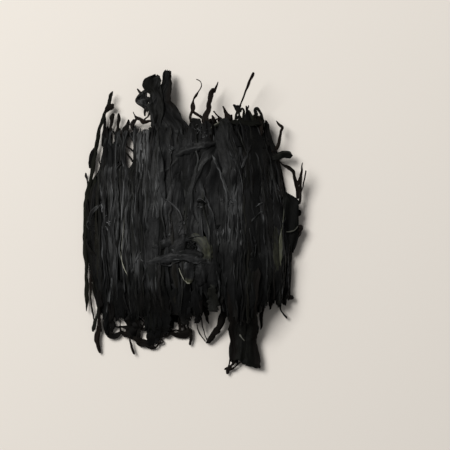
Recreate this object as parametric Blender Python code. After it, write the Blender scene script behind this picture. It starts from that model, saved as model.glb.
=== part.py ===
"""A flat bundle of dried wakame as it lies: long black strips that run one way, folded leaves, loops and loose tips.

Metres, +Z up. The strips run along Y. The bundle rests on z = 0, and the origin is in the middle of its resting face.
"""

import bisect
import math
import random

import bmesh
import bpy
from mathutils import Vector

MM = 0.001
SEED = 11

# The bundle's skin: the surface that the outermost strips follow.
SKIN_HEIGHT = 33 * MM
SKIN_MIDDLE_Y = -6 * MM
SKIN_HALF_LENGTH = 92 * MM
END_HEIGHT_SHARE = 0.62
LEFT_ROUNDING = (2.4, 1.3)
RIGHT_ROUNDING = (4.0, 1.6)
LEFT_EDGE = ((-110, -80), (-75, -89), (0, -92), (50, -87), (95, -77))
RIGHT_EDGE = ((-110, 85), (-40, 86), (10, 80), (50, 71), (95, 60))
TOP_END = ((-92, 78), (-55, 82), (0, 85), (55, 86), (70, 72), (90, 56))
BOTTOM_END = ((-92, -84), (-60, -99), (0, -96), (22, -82), (40, -98), (62, -80), (90, -74))
# The bundle is thin and loose in its top left corner: how much lower it is there, and where that sets in (x and y)
CORNER_DROP = 0.72
CORNER_X = (-33 * MM, -53 * MM)
CORNER_Y = (15 * MM, 45 * MM)
# The same for its lower left end, where the strips thin out
FOOT_DROP = 0.5
FOOT_X = (-6 * MM, -28 * MM)
FOOT_Y = (-60 * MM, -90 * MM)

# The core under the strips, ridged by the strips packed in it. It stops short of the left edge, where light shows
# between the strips.
CORE_DEPTH = 1.8 * MM
CORE_GROOVE = 2.4 * MM
CORE_SHARES = (0.17, 0.95)
CORE_ENDS = (-86 * MM, 73 * MM)
CORE_END_BULGE = 7 * MM
CORE_END_SHARE = 0.55
CORE_RINGS = 10
CORE_RIDGES = 24
CORE_END_NARROWING = 0.94
CORE_LEAST = 2.6 * MM

# Pieces on the core
FLOOR_GAP = 0.5 * MM
EDGE_STRIPS = (7, 0.02, 0.18)
TOP_STRIPS = (8, 0.2, 0.99)
LONG_STRIP_RINGS = 11
LONG_STRIP_WIDTH = (4.4 * MM, 6.8 * MM)
LONG_STRIP_THICKNESS = 3.4 * MM
CROSS_STRIPS = 4
CROSS_RANGE = (-84 * MM, 66 * MM)
CROSS_REACH = (34 * MM, 46 * MM)
CROSS_SHARES = (0.035, 0.27)
CROSS_RINGS = 7
TIP_COUNT = 19
TIP_SHARES = (0.1, 0.94)
TIP_HEIGHTS = (0.14, 0.8)
TIP_WIDTH = (3.0 * MM, 5.2 * MM)
TIP_THICKNESS = 2.0 * MM
TIP_SUNK = 6 * MM
TIP_RINGS = 4
LEAF_EDGE_REACH = 2.6 * MM


# ---------------------------------------------------------------- smooth curves

def through(knots, t):
    """The smooth value at t of an outline given as (position, value) knots in millimetres; t is in metres."""
    at = t / MM
    if at <= knots[0][0]:
        return knots[0][1] * MM
    for (a, low), (b, high) in zip(knots, knots[1:]):
        if at <= b:
            share = (at - a) / (b - a)
            return (low + (high - low) * share * share * (3 - 2 * share)) * MM
    return knots[-1][1] * MM


def wander(rng, reach, length):
    """A smooth random wave of the given reach whose bends lie about length apart."""
    waves = [
        (0.6 * reach / k, k * math.pi / length * rng.uniform(0.7, 1.3), rng.uniform(0, math.tau))
        for k in (1, 2, 3)
    ]
    return lambda t: sum(size * math.sin(rate * t + start) for size, rate, start in waves)


def spline(points, count):
    """count points, evenly spaced in parameter, on a Catmull-Rom curve through points in millimetres."""
    knots = [Vector(p) * MM for p in points]
    knots = [2 * knots[0] - knots[1], *knots, 2 * knots[-1] - knots[-2]]
    made = []
    for i in range(count):
        at = i / (count - 1) * (len(knots) - 3)
        k = min(int(at), len(knots) - 4)
        t = at - k
        a, b, c, d = knots[k : k + 4]
        made.append(
            0.5 * (2 * b + (c - a) * t + (2 * a - 5 * b + 4 * c - d) * t**2 + (3 * b - a - 3 * c + d) * t**3)
        )
    return made


# ---------------------------------------------------------------- the skin

def arch():
    """Points (x from -1 to 1, z from 0 to 1, share of the way) of the skin's cross-section, left foot to right foot."""
    steps = 160
    points = []
    for i in range(steps + 1):
        x = -math.cos(math.pi * i / steps)
        n, m = LEFT_ROUNDING if x < 0 else RIGHT_ROUNDING
        points.append((x, max(0.0, 1 - abs(x) ** n) ** (1 / m)))
    half = (RIGHT_EDGE[2][1] - LEFT_EDGE[2][1]) / 2 * MM
    steps_long = [
        math.hypot((b[0] - a[0]) * half, (b[1] - a[1]) * SKIN_HEIGHT) for a, b in zip(points, points[1:])
    ]
    total = sum(steps_long)
    shares = [sum(steps_long[:i]) / total for i in range(steps + 1)]
    return [(*p, s) for p, s in zip(points, shares)]


ARCH = arch()
ARCH_SHARES = [p[2] for p in ARCH]


def rise(y):
    """The share of its full height that the skin has at y: it drops towards both ends, and on past them."""
    along = abs(y - SKIN_MIDDLE_Y) / SKIN_HALF_LENGTH
    if along < 1:
        return END_HEIGHT_SHARE + (1 - END_HEIGHT_SHARE) * math.sqrt(1 - along**4)
    return END_HEIGHT_SHARE * max(0.25, 1 - 1.6 * (along - 1))


def eased(start, end, t):
    """A smooth step from 0 at start to 1 at end."""
    share = min(max((t - start) / (end - start), 0.0), 1.0)
    return share * share * (3 - 2 * share)


def skin(share, y, depth=0.0):
    """The point of the skin at a share of the way over it and at y, moved inwards by depth."""
    share = min(max(share, 0.0), 1.0)
    k = min(max(bisect.bisect_right(ARCH_SHARES, share), 1), len(ARCH) - 1)
    (xa, za, sa), (xb, zb, sb) = ARCH[k - 1], ARCH[k]
    t = (share - sa) / (sb - sa)
    left, right = through(LEFT_EDGE, y), through(RIGHT_EDGE, y)
    half = (right - left) / 2
    x = left + half * (1 + xa + (xb - xa) * t)
    height = SKIN_HEIGHT * rise(y) * (1 - CORNER_DROP * eased(*CORNER_X, x) * eased(*CORNER_Y, y))
    height *= 1 - FOOT_DROP * eased(*FOOT_X, x) * eased(*FOOT_Y, y)
    point = Vector((x, y, height * (za + (zb - za) * t)))
    outward = Vector((-(zb - za) * height, 0, (xb - xa) * half)).normalized()
    return point - outward * depth, outward


# ---------------------------------------------------------------- meshes

def loft(name, rings, sheet=False):
    """A closed solid through rings of points. A sheet's rings run along one face and back along the other, and both
    faces are split into triangles the same way."""
    mesh = bmesh.new()
    rows = [[mesh.verts.new(p) for p in ring] for ring in rings]
    size = len(rows[0])
    for a, b in zip(rows, rows[1:]):
        for i in range(size):
            j = (i + 1) % size
            if sheet and i < size // 2 - 1:
                mesh.faces.new((a[i], a[j], b[j]))
                mesh.faces.new((a[i], b[j], b[i]))
            elif sheet and size // 2 <= i < size - 1:
                mesh.faces.new((a[i], a[j], b[i]))
                mesh.faces.new((a[j], b[j], b[i]))
            else:
                mesh.faces.new((a[i], a[j], b[j], b[i]))
    for row in (rows[0][::-1], rows[-1]):
        if sheet:
            for i in range(size // 2 - 1):
                mesh.faces.new((row[i], row[i + 1], row[size - 2 - i], row[size - 1 - i]))
        else:
            mesh.faces.new(row)
    bmesh.ops.recalc_face_normals(mesh, faces=mesh.faces)
    data = bpy.data.meshes.new(name)
    mesh.to_mesh(data)
    mesh.free()
    return bpy.data.objects.new(name, data)


def frame_along(path, ups):
    """The sideways and outward direction at each point of a path, square to it."""
    frames = []
    for i, up in enumerate(ups):
        ahead = (path[min(i + 1, len(path) - 1)] - path[max(i - 1, 0)]).normalized()
        side = ahead.cross(up).normalized()
        frames.append((side, side.cross(ahead)))
    return frames


def above_floor(point):
    return Vector((point.x, point.y, max(point.z, FLOOR_GAP)))


def strip(name, path, ups, widths, thickness, twist=lambda t: 0.0):
    """A dried strip: four-sided, flat, a little twisted, and as wide at each point of its path as widths says."""
    rings = []
    for i, (centre, (side, up)) in enumerate(zip(path, frame_along(path, ups))):
        turn = twist(i / (len(path) - 1))
        across = side * math.cos(turn) + up * math.sin(turn)
        outward = up * math.cos(turn) - side * math.sin(turn)
        half = widths[i] / 2
        rise_half = min(thickness / 2, 0.7 * half + 0.3 * MM)
        corners = (across * half, outward * rise_half, -across * half, -outward * rise_half)
        rings.append([above_floor(centre + c) for c in corners])
    return loft(name, rings)


def leaf(name, path, ups, widths, thickness, waves, edges, columns):
    """A wavy leaf with uneven edges. Its height across it follows waves(share across, share along)."""
    rings = []
    for i, (centre, (side, up)) in enumerate(zip(path, frame_along(path, ups))):
        along = i / (len(path) - 1)
        left, right = -widths[i] / 2 + edges[0](along), widths[i] / 2 + edges[1](along)
        face = []
        for k in range(columns):
            across = k / (columns - 1)
            face.append(centre + side * (left + (right - left) * across) + up * waves(across, along))
        face = [Vector((p.x, p.y, max(p.z, FLOOR_GAP + thickness))) for p in face]
        rings.append(face + [p - Vector((0, 0, 1)) * thickness for p in reversed(face)])
    return loft(name, rings, sheet=True)


def tapered(widest, count, start=0.6, end=0.25):
    """count widths that swell from the start share to the widest and taper to the end share."""
    made = []
    for i in range(count):
        t = i / (count - 1)
        swell = math.sin(math.pi * min(1.0, t * 1.4 + 0.12)) if t < 0.35 else 1.0
        fall = 1 - (1 - end) * max(0.0, (t - 0.55) / 0.45) ** 1.5
        made.append(widest * max(start, swell) * fall)
    return made


# ---------------------------------------------------------------- the bundle's pieces

def core(rng):
    """The packed inside of the bundle, flat underneath, with a ridge over it for each strip that lies there."""
    low, high = CORE_SHARES
    pitch = (high - low) / CORE_RIDGES
    sways = [wander(rng, 0.4 * pitch, 50 * MM) for _ in range(CORE_RIDGES)]
    lifts = [wander(rng, 0.9 * MM, 40 * MM) for _ in range(CORE_RIDGES)]
    rings = []
    for i in range(CORE_RINGS):
        y = CORE_ENDS[0] + (CORE_ENDS[1] - CORE_ENDS[0]) * i / (CORE_RINGS - 1)
        centres = [low + pitch * (k + 0.5) + sway(y) for k, sway in enumerate(sways)]
        over = [skin(low, y, CORE_DEPTH)[0]]
        for k, centre in enumerate(centres):
            after = centres[k + 1] if k + 1 < CORE_RIDGES else 2 * high - centre
            over.append(skin(centre, y, CORE_DEPTH - lifts[k](y))[0])
            over.append(skin((centre + after) / 2, y, CORE_DEPTH + CORE_GROOVE)[0])
        over = [Vector((p.x, p.y, max(p.z, CORE_LEAST))) for p in over]
        feet = [Vector((over[-1].x, y, 0)), Vector((over[0].x, y, 0))]
        rings.append([*over, *feet])
    return loft("core", [end_bulge(rings[0], -1), *rings, end_bulge(rings[-1], 1)])


def end_bulge(ring, end):
    """The lower, narrower ring that rounds off an end of the core."""
    middle = sum(p.x for p in ring) / len(ring)
    return [
        Vector((middle + CORE_END_NARROWING * (p.x - middle), p.y + end * CORE_END_BULGE, CORE_END_SHARE * p.z))
        for p in ring
    ]


def long_strips(rng, count, low, high):
    """Strips side by side over a stretch of the skin, from end to end, each with its own bends and length."""
    made = []
    for k in range(count):
        share = low + (high - low) * (k + 0.5) / count
        sway = wander(rng, 0.008, 55 * MM)
        lift = wander(rng, 0.8 * MM, 35 * MM)
        depth = (1.0 + 1.2 * (k % 2)) * MM
        x = skin(share, 0)[0].x
        top = through(TOP_END, x) + rng.uniform(-5, 3) * MM
        bottom = through(BOTTOM_END, x) + rng.uniform(-5, 5) * MM
        path, ups = [], []
        for i in range(LONG_STRIP_RINGS):
            y = bottom + (top - bottom) * i / (LONG_STRIP_RINGS - 1)
            point, up = skin(share + sway(y), y, depth - lift(y))
            point.z = max(point.z, 1.6 * MM)
            path.append(point)
            ups.append(up)
        widest = rng.uniform(*LONG_STRIP_WIDTH)
        widths = [widest * rng.uniform(0.75, 1.1) for _ in path]
        widths[0], widths[-1] = widest * 0.4, widest * 0.4
        made.append(strip(f"long_{low}_{k}", path, ups, widths, LONG_STRIP_THICKNESS, wander(rng, 0.3, 0.3)))
    return made


def cross_strips(rng):
    """Strips that slant across the others and tie the loose left edge to the core."""
    made = []
    (first, last), (low, high) = CROSS_RANGE, CROSS_SHARES
    for k in range(CROSS_STRIPS):
        y = first + (last - first) * k / (CROSS_STRIPS - 1)
        reach = rng.uniform(*CROSS_REACH) * (-1 if k % 2 else 1)
        path, ups = [], []
        for i in range(CROSS_RINGS):
            along = i / (CROSS_RINGS - 1)
            point, up = skin(low + (high - low) * along, y + reach * along, rng.uniform(1.4, 2.2) * MM)
            path.append(point)
            ups.append(up)
        made.append(strip(f"cross_{k}", path, ups, tapered(4.2 * MM, CROSS_RINGS, 0.7, 0.6), 2.6 * MM))
    return made


def tips(rng, end):
    """Cut and torn ends that stick out all over one end face of the bundle; end is 1 at the top, -1 at the bottom."""
    made = []
    low, high = TIP_SHARES
    for k in range(TIP_COUNT):
        share = low + (high - low) * (k + rng.random()) / TIP_COUNT
        height = rng.uniform(*TIP_HEIGHTS)
        x = skin(share, 0)[0].x
        edge = through(TOP_END if end > 0 else BOTTOM_END, x)
        root = CORE_ENDS[1 if end > 0 else 0] - end * TIP_SUNK
        reach = edge + end * rng.uniform(-3, 7) * MM
        sway = wander(rng, 1.6 * MM, 14 * MM)
        path = []
        for i in range(TIP_RINGS):
            y = root + (reach - root) * i / (TIP_RINGS - 1)
            surface, _ = skin(share, y, CORE_DEPTH)
            path.append(Vector((surface.x + sway(y), y, max(surface.z * height, 1.5 * MM))))
        widest = rng.uniform(*TIP_WIDTH)
        widths = [widest * s for s in (0.9, 1.0, rng.uniform(0.7, 1.1), rng.uniform(0.2, 0.5))]
        turn = rng.uniform(-1.2, 1.2)
        ups = [Vector((0, 0, 1))] * TIP_RINGS
        made.append(strip(f"tip_{end}_{k}", path, ups, widths, TIP_THICKNESS, lambda t: turn))
    return made


# Loose strips beyond the body: name, widest, thickness, rings, and the points that each passes through, in millimetres.
STRAYS = (
    ("left_whip", 3.6, 2.0, 9, ((-69, 106, 7), (-75, 84, 9), (-83, 56, 8), (-88, 30, 6), (-90, -10, 5), (-88, -52, 6))),
    ("left_whip_flap", 3.6, 1.6, 4, ((-78, 77, 10), (-72, 88, 9), (-67, 95, 8))),
    ("thin_curl", 2.0, 1.5, 9, ((-1, 74, 15), (0, 86, 15), (1, 93, 14), (4, 104, 13), (8, 112, 12), (3, 118, 11))),
    ("thin_curl_branch", 1.8, 1.3, 4, ((1, 92, 14), (6, 88, 15), (11, 78, 16))),
    ("pointed_leaf", 6.0, 2.2, 6, ((11, 72, 18), (14, 92, 16), (18, 105, 14), (22, 114, 13))),
    ("short_twig", 2.2, 1.6, 4, ((29, 76, 18), (25, 85, 17), (18, 90, 17))),
    ("straight_stem", 2.6, 2.2, 5, ((39, 70, 16), (42, 95, 20), (53, 123, 26))),
    ("forked_twig", 4.4, 2.4, 4, ((38, 72, 16), (39, 86, 17), (36, 96, 18))),
    ("forked_twig_arm", 2.4, 1.8, 3, ((39, 82, 17), (44, 95, 18))),
    ("right_shoulder_hook", 4.6, 1.8, 6, ((64, 48, 16), (72, 57, 13), (77, 68, 11), (76, 76, 10), (73, 82, 9))),
    ("right_stub", 5.6, 2.4, 4, ((60, 51, 15), (76, 50, 11), (88, 51, 9))),
    ("right_arch", 4.0, 2.0, 7, ((68, 48, 14), (78, 44, 12), (87, 37, 11), (89, 20, 11), (87, 6, 10))),
    ("right_fork_outer", 2.6, 1.8, 5, ((98, 38, 15), (94, 26, 13), (90, 10, 10))),
    ("right_fork_inner", 3.2, 1.8, 5, ((95, 46, 15), (92, 30, 13), (88, 8, 10))),
    ("right_knob", 5.0, 3.0, 4, ((84, -8, 9), (91, -11, 10), (95, -12, 11))),
    ("right_hook", 4.6, 2.2, 4, ((78, -60, 7), (83, -68, 7), (88, -71, 7))),
    ("right_tail", 2.2, 1.6, 4, ((75, -68, 7), (78, -80, 6), (81, -89, 5))),
    ("lower_spike", 4.0, 2.0, 4, ((60, -66, 12), (60, -84, 9), (59, -97, 7))),
    ("bent_strip", 6.0, 2.4, 7, ((31, -66, 12), (29, -82, 9), (25, -96, 7), (18, -104, 5), (11, -110, 3))),
    ("thin_thread", 1.6, 1.3, 6, ((3, -82, 9), (5, -94, 7), (8, -103, 5), (13, -109, 3.4))),
    ("lower_thorn", 3.2, 1.8, 4, ((11, -70, 12), (12, -82, 9), (14, -94, 6))),
    ("edge_loop", 6.4, 3.0, 12, (
        (-72, -90, 6), (-70, -103, 4), (-58, -105, 5), (-46, -108, 6), (-34, -112, 5), (-26, -106, 6), (-14, -102, 5),
        (-3, -105, 5), (1, -94, 8), (0, -80, 10),
    )),
    ("small_stick", 2.6, 1.8, 4, ((-56, -92, 6), (-54, -108, 5), (-50, -120, 4))),
    ("left_tail_inner", 5.0, 2.2, 6, ((-76, -70, 6), (-79, -88, 5), (-82, -104, 4), (-80, -119, 3))),
    ("left_tail_outer", 3.0, 1.8, 5, ((-78, -68, 7), (-80, -84, 6), (-85, -100, 4))),
    ("tuft_fray_long", 3.8, 1.8, 5, ((46, -108, 5), (41, -124, 4), (28, -138, 3))),
    ("tuft_fray_short", 2.6, 1.6, 4, ((48, -114, 4), (42, -128, 3), (32, -135, 3))),
)

# Leaves, wide and thin: name, rings, columns, thickness and waviness in millimetres, and points (x, y, z, width).
# One that lies on the core is thick enough to sink into it, so that only its upper face shows.
LEAVES = (
    ("top_leaf", 7, 6, 1.3, 1.8, (
        (-23, 58, 26, 30), (-24, 78, 20, 31), (-28, 96, 14, 26), (-30, 110, 11, 25), (-31, 122, 9, 24),
    )),
    ("top_leaf_bulge", 4, 4, 1.3, 1.8, ((-30, 92, 12, 16), (-40, 97, 11, 17), (-49, 100, 9, 7))),
    ("top_fringe", 4, 3, 1.3, 1.2, ((-28, 78, 15, 7), (-40, 80, 13, 7), (-50, 84, 12, 4))),
    ("right_leaf", 7, 4, 1.3, 1.6, (
        (81, 28, 11, 12), (82, 8, 11, 21), (83, -12, 10, 22), (83, -28, 8, 14), (82, -40, 7, 6),
    )),
    ("lower_tuft_left", 7, 5, 1.3, 1.8, ((38, -62, 15, 15), (37, -84, 11, 15), (38, -104, 8, 14), (39, -124, 6, 14))),
    ("lower_tuft_right", 7, 5, 1.3, 1.8, ((50, -62, 15, 16), (50, -84, 11, 15), (49, -104, 8, 14), (53, -129, 6, 17))),
    ("swirl", 8, 4, 4, 1.0, (
        (-36, -42, 33, 4), (-14, -36, 34.6, 12), (6, -28, 35, 14), (17, -36, 34.6, 13), (12, -50, 33.4, 11),
        (2, -59, 31.6, 4),
    )),
    ("left_middle_leaf", 6, 5, 4, 1.4, ((-32, 76, 25, 7), (-27, 42, 33.6, 16), (-22, 6, 34.4, 13), (-18, -24, 33.4, 3))),
    ("middle_leaf", 6, 5, 4, 1.4, ((2, 78, 25, 12), (8, 46, 34, 25), (10, 16, 34.8, 19), (2, -16, 33.6, 4))),
    ("right_middle_leaf", 7, 5, 4, 1.4, ((28, 66, 30, 4), (33, 22, 34.4, 14), (35, -30, 34.4, 15), (40, -76, 25, 7))),
)


def strays():
    made = []
    for name, widest, thickness, rings, points in STRAYS:
        path = spline(points, rings)
        made.append(strip(name, path, [Vector((0, 0, 1))] * rings, tapered(widest * MM, rings), thickness * MM))
    return made


def leaves(rng):
    made = []
    for name, rings, columns, thickness, wavy, points in LEAVES:
        path = spline([p[:3] for p in points], rings)
        widths = [p.x for p in spline([(p[3], 0, 0) for p in points], rings)]
        ridge = rng.uniform(0.8, 1.4)
        start = rng.uniform(0, math.tau)

        def waves(across, along, wavy=wavy, ridge=ridge, start=start):
            fold = math.sin(math.tau * ridge * across + start + 2.2 * along)
            return wavy * MM * (0.6 * fold + 0.4 * math.sin(math.tau * 1.7 * along + 5 * across))

        ups = [Vector((0, 0, 1))] * rings
        edges = [wander(rng, LEAF_EDGE_REACH, 0.22) for _ in range(2)]
        made.append(leaf(name, path, ups, widths, thickness * MM, waves, edges, columns))
    return made


# ---------------------------------------------------------------- joining

def shells_of(mesh):
    """The mesh's faces in groups that hang together."""
    left, groups = set(mesh.faces), []
    while left:
        front = [left.pop()]
        group = list(front)
        while front:
            near = {f for e in front.pop().edges if len(e.link_faces) == 2 for f in e.link_faces} & left
            left -= near
            front += near
            group += near
        groups.append(group)
    return groups


def keep_largest_shell(data):
    """Fills the hollows that joining sealed, and drops scraps that touch nothing."""
    mesh = bmesh.new()
    mesh.from_mesh(data)
    bmesh.ops.triangulate(mesh, faces=mesh.faces)
    groups = sorted(shells_of(mesh), key=lambda group: sum(f.calc_area() for f in group))
    loose = [face for group in groups[:-1] for face in group]
    bmesh.ops.delete(mesh, geom=loose, context="FACES")
    mesh.to_mesh(data)
    mesh.free()


def joined(name, base, pieces, parts):
    """base with all the pieces joined on by one Boolean, and the pieces removed."""
    base.name = name
    parts.objects.link(base)
    union = base.modifiers.new("join pieces", "BOOLEAN")
    union.operation = "UNION"
    union.solver = "MANIFOLD"
    union.operand_type = "COLLECTION"
    union.collection = pieces
    bpy.context.view_layer.update()
    evaluated = base.evaluated_get(bpy.context.evaluated_depsgraph_get())
    data = bpy.data.meshes.new_from_object(evaluated)
    base.modifiers.clear()
    base.data = data
    data.name = name
    for piece in list(pieces.objects):
        bpy.data.objects.remove(piece)
    bpy.data.collections.remove(pieces)
    keep_largest_shell(data)
    return base


def dried_seaweed():
    """Near-black with a trace of green, and half matt."""
    material = bpy.data.materials.new("dried_wakame")
    material.use_nodes = True
    shader = material.node_tree.nodes["Principled BSDF"]
    shader.inputs["Base Color"].default_value = (0.012, 0.013, 0.011, 1)
    shader.inputs["Roughness"].default_value = 0.55
    shader.inputs["Metallic"].default_value = 0
    return material


def main():
    for old in list(bpy.data.objects):
        bpy.data.objects.remove(old)
    parts = bpy.data.collections.new("dried_wakame")
    pieces = bpy.data.collections.new("pieces")
    for collection in (parts, pieces):
        bpy.context.scene.collection.children.link(collection)
    rng = random.Random(SEED)
    for piece in [
        *long_strips(rng, *EDGE_STRIPS),
        *long_strips(rng, *TOP_STRIPS),
        *cross_strips(rng),
        *tips(rng, 1),
        *tips(rng, -1),
        *strays(),
        *leaves(rng),
    ]:
        pieces.objects.link(piece)
    bundle = joined("wakame_bundle", core(rng), pieces, parts)
    bundle.data.materials.clear()
    bundle.data.materials.append(dried_seaweed())
    bundle.data.shade_smooth()
    bundle.data.set_sharp_from_angle(angle=math.radians(40))


main()
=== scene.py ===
"""The looks of a flat bundle of dried wakame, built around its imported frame.

Metres, +Z up. The strips run along Y. Every strip and leaf is laid on what is already there: a map of the heap's height
over the bundle's skin says how high each one lies, and grows with each one. The tables are in millimetres, and so are
the widths, thicknesses and reliefs that the functions for strips and leaves take.
"""

import math
import random

import bpy
import numpy as np
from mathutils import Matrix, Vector


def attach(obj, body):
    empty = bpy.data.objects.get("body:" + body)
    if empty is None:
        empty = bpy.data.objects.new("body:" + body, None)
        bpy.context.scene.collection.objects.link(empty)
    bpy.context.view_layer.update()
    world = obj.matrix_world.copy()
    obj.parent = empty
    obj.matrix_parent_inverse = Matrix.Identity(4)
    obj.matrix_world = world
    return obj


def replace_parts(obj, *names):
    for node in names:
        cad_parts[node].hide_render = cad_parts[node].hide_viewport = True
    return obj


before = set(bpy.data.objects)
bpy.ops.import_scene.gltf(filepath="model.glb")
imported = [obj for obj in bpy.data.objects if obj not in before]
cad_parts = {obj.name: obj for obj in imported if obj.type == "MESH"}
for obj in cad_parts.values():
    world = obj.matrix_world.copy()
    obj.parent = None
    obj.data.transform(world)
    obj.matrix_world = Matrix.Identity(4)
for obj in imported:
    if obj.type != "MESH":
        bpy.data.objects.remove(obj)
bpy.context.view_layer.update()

MM = 0.001
SEED = 23
BODY = "root"
NODE = "wakame_bundle"

# The bundle's skin, with the sizes that the solid has: the surface that the outermost strips follow.
SKIN_HEIGHT = 33 * MM
SKIN_WIDTH = 172 * MM
SKIN_MIDDLE_Y = -6 * MM
SKIN_HALF_LENGTH = 92 * MM
END_HEIGHT_SHARE = 0.62
LEFT_ROUNDING = (2.4, 1.3)
RIGHT_ROUNDING = (4.0, 1.6)
# Its edges as (y, x) and its ends as (x, y)
LEFT_EDGE = ((-110, -78), (-84, -79), (-73, -81), (-60, -85), (-45, -89), (0, -91), (20, -89), (29, -84.5), (36, -81.5),
             (44, -79.5), (56, -78), (75, -76.5), (95, -75))
RIGHT_EDGE = ((-110, 83), (-70, 83.5), (-40, 84), (-10, 82), (10, 79), (21, 77), (34, 75.5), (47, 73.5), (56, 70.5),
              (64, 67.5), (73, 65.5), (81, 62), (95, 58))
TOP_END = ((-92, 70), (-82, 72), (-76, 76), (-70, 75), (-66, 72), (-62, 74), (-58, 75), (-53, 79), (-49, 78), (-46, 70),
           (-44, 74), (-36, 75), (-24, 76.5), (-6, 77), (9, 77.5), (20, 78.5), (30, 81), (60, 81), (66, 74), (90, 56))
BOTTOM_END = ((-92, -80), (-82, -82), (-79, -84), (-74, -90), (-70, -90.5), (-48, -90), (-45, -89), (-41, -89),
              (-38, -100), (-26, -102), (-20, -96), (-18, -86), (-12, -86), (-11, -92), (-5, -92), (-3.5, -88),
              (3.5, -88), (5, -91.5), (7, -91), (9.5, -82), (11, -70), (13.5, -70), (15, -80), (22, -80.5), (25.5, -77),
              (30, -88), (44, -94), (58, -86), (62, -78), (70, -76), (78, -78), (84, -72), (90, -68))
# The bundle is thin and loose in its top left corner and thins out at its lower left end: how much lower it is there,
# and where that sets in (x and y)
CORNER_DROP = 0.72
CORNER_X = (-33 * MM, -53 * MM)
CORNER_Y = (15 * MM, 45 * MM)
FOOT_DROP = 0.66
FOOT_X = (-6 * MM, -28 * MM)
FOOT_Y = (-60 * MM, -90 * MM)
# No strip of the underside runs through the loose corner, between these x, and no tip at the top end lies left of x
CORNER_GAP_X = (-76 * MM, -42 * MM)
CORNER_TIPS_X = -43 * MM

# The bed that the strips are laid on lies this far under the skin, less towards both edges. Strips rise over the skin
# by no more than STAND_PROUD, and leaves ease off over LEAF_PROUD. Nothing goes below FLOOR_GAP.
BED_DEPTH = 8.5 * MM
STAND_PROUD = 1.6 * MM
LEAF_PROUD = 1.6 * MM
FLOOR_GAP = 0.25 * MM

# The dense mass inside. Its left limit, as (y, x), leaves the loose corner free, where light shows between the strips.
# Its right limit is a share of the way over the skin.
CORE_LEFT = ((-90, -70), (-40, -76), (0, -72), (22, -64), (38, -43), (90, -41))
CORE_RIGHT = 0.965
CORE_ENDS = (-84 * MM, 70 * MM)

# Gaps through the loose left edge that strips bend round: x, y, half width, half length
WINDOWS = (
    (-53.2, 53, 3.5, 13), (-66.3, 77, 1.5, 7), (-67.8, 65, 1.5, 6.5), (-60.4, 71, 1.2, 4.5), (-62.6, 59.6, 0.9, 2.2),
    (-62.3, 44, 1, 3),
)

# The map of the heap
CELL = 0.8 * MM
MAP_Y = (-145 * MM, 130 * MM)

# The lowest and the highest share of the way over the skin of a point, of the middle of a strip and of the underside
POINT_SHARES = (0.004, 0.996)
STRIP_SHARES = (0.006, 0.994)
UNDERSIDE_SHARES = (0.012, 0.975)
# How far neighbouring strips sway together, as such a share, and how close together the points along a strip lie
FLOW_REACH = 0.009
STATIONS_PER_METRE = 560


# ---------------------------------------------------------------- smooth curves

def smoothstep(low, high, t):
    share = np.clip((np.asarray(t, float) - low) / (high - low), 0, 1)
    return share * share * (3 - 2 * share)


def within(low, high, soft, t):
    """1 from low to high and 0 outside, with a soft change at both."""
    return smoothstep(-soft, soft, t - low) * smoothstep(-soft, soft, high - t)


def both_ends(lead, t):
    """1, and down to 0 over the lead at both ends of the way from 0 to 1."""
    return smoothstep(0, lead, t) * smoothstep(0, lead, 1 - t)


def outline(knots, at):
    """The smooth values at positions in metres of an outline given as (position, value) knots in millimetres."""
    knots = np.array(knots, float)
    at = np.asarray(at, float) / MM
    i = np.clip(np.searchsorted(knots[:, 0], at, side="right") - 1, 0, len(knots) - 2)
    share = smoothstep(0, 1, (at - knots[i, 0]) / (knots[i + 1, 0] - knots[i, 0]))
    return (knots[i, 1] + (knots[i + 1, 1] - knots[i, 1]) * share) * MM


def wave(rng, reach, length):
    """A smooth random wave of the given reach whose bends lie about length apart."""
    parts = [
        (0.6 * reach / k, k * math.pi / length * rng.uniform(0.7, 1.3), rng.uniform(0, math.tau))
        for k in (1, 2, 3)
    ]
    return lambda t: sum(size * np.sin(rate * t + start) for size, rate, start in parts)


def spline(numbers, size, count):
    """count rows on a Catmull-Rom curve through rows of size numbers each."""
    knots = np.reshape(numbers, (-1, size)).astype(float)
    knots = np.vstack([2 * knots[0] - knots[1], knots, 2 * knots[-1] - knots[-2]])
    at = np.linspace(0, len(knots) - 3, count)
    k = np.minimum(at.astype(int), len(knots) - 4)
    t = (at - k)[:, None]
    a, b, c, d = knots[k], knots[k + 1], knots[k + 2], knots[k + 3]
    return 0.5 * (2 * b + (c - a) * t + (2 * a - 5 * b + 4 * c - d) * t**2 + (3 * b - a - 3 * c + d) * t**3)


def shifted(values, reach, axis):
    """values, moved along an axis by every number of steps up to reach, one way and the other."""
    pad = [(0, 0)] * values.ndim
    pad[axis] = (reach, reach)
    wide = np.pad(values, pad, mode="edge")
    size = values.shape[axis]
    return (np.take(wide, range(i, i + size), axis=axis) for i in range(2 * reach + 1))


def smoothed(values, sigma, axis=0):
    """values blurred along an axis, with sigma in steps."""
    if sigma < 0.3:
        return values
    reach = int(math.ceil(3 * sigma))
    kernel = np.exp(-0.5 * (np.arange(-reach, reach + 1) / sigma) ** 2)
    kernel /= kernel.sum()
    return sum(weight * moved for weight, moved in zip(kernel, shifted(values, reach, axis)))


def highest_near(values, reach, axis=0):
    return np.max(list(shifted(values, reach, axis)), axis=0)


def field(rng, rows, columns, long, wide):
    """A smooth random field whose bumps are about long rows and wide columns in size, mostly from -1 to 1."""
    above, left = 30, 20
    grid = np.random.RandomState(rng.randrange(1 << 30)).normal(size=(rows + 2 * above, columns + 2 * left))
    grid = smoothed(smoothed(grid, long / 2.4), wide / 2.4, 1)[above : above + rows, left : left + columns]
    return grid / (2 * grid.std())


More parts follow.
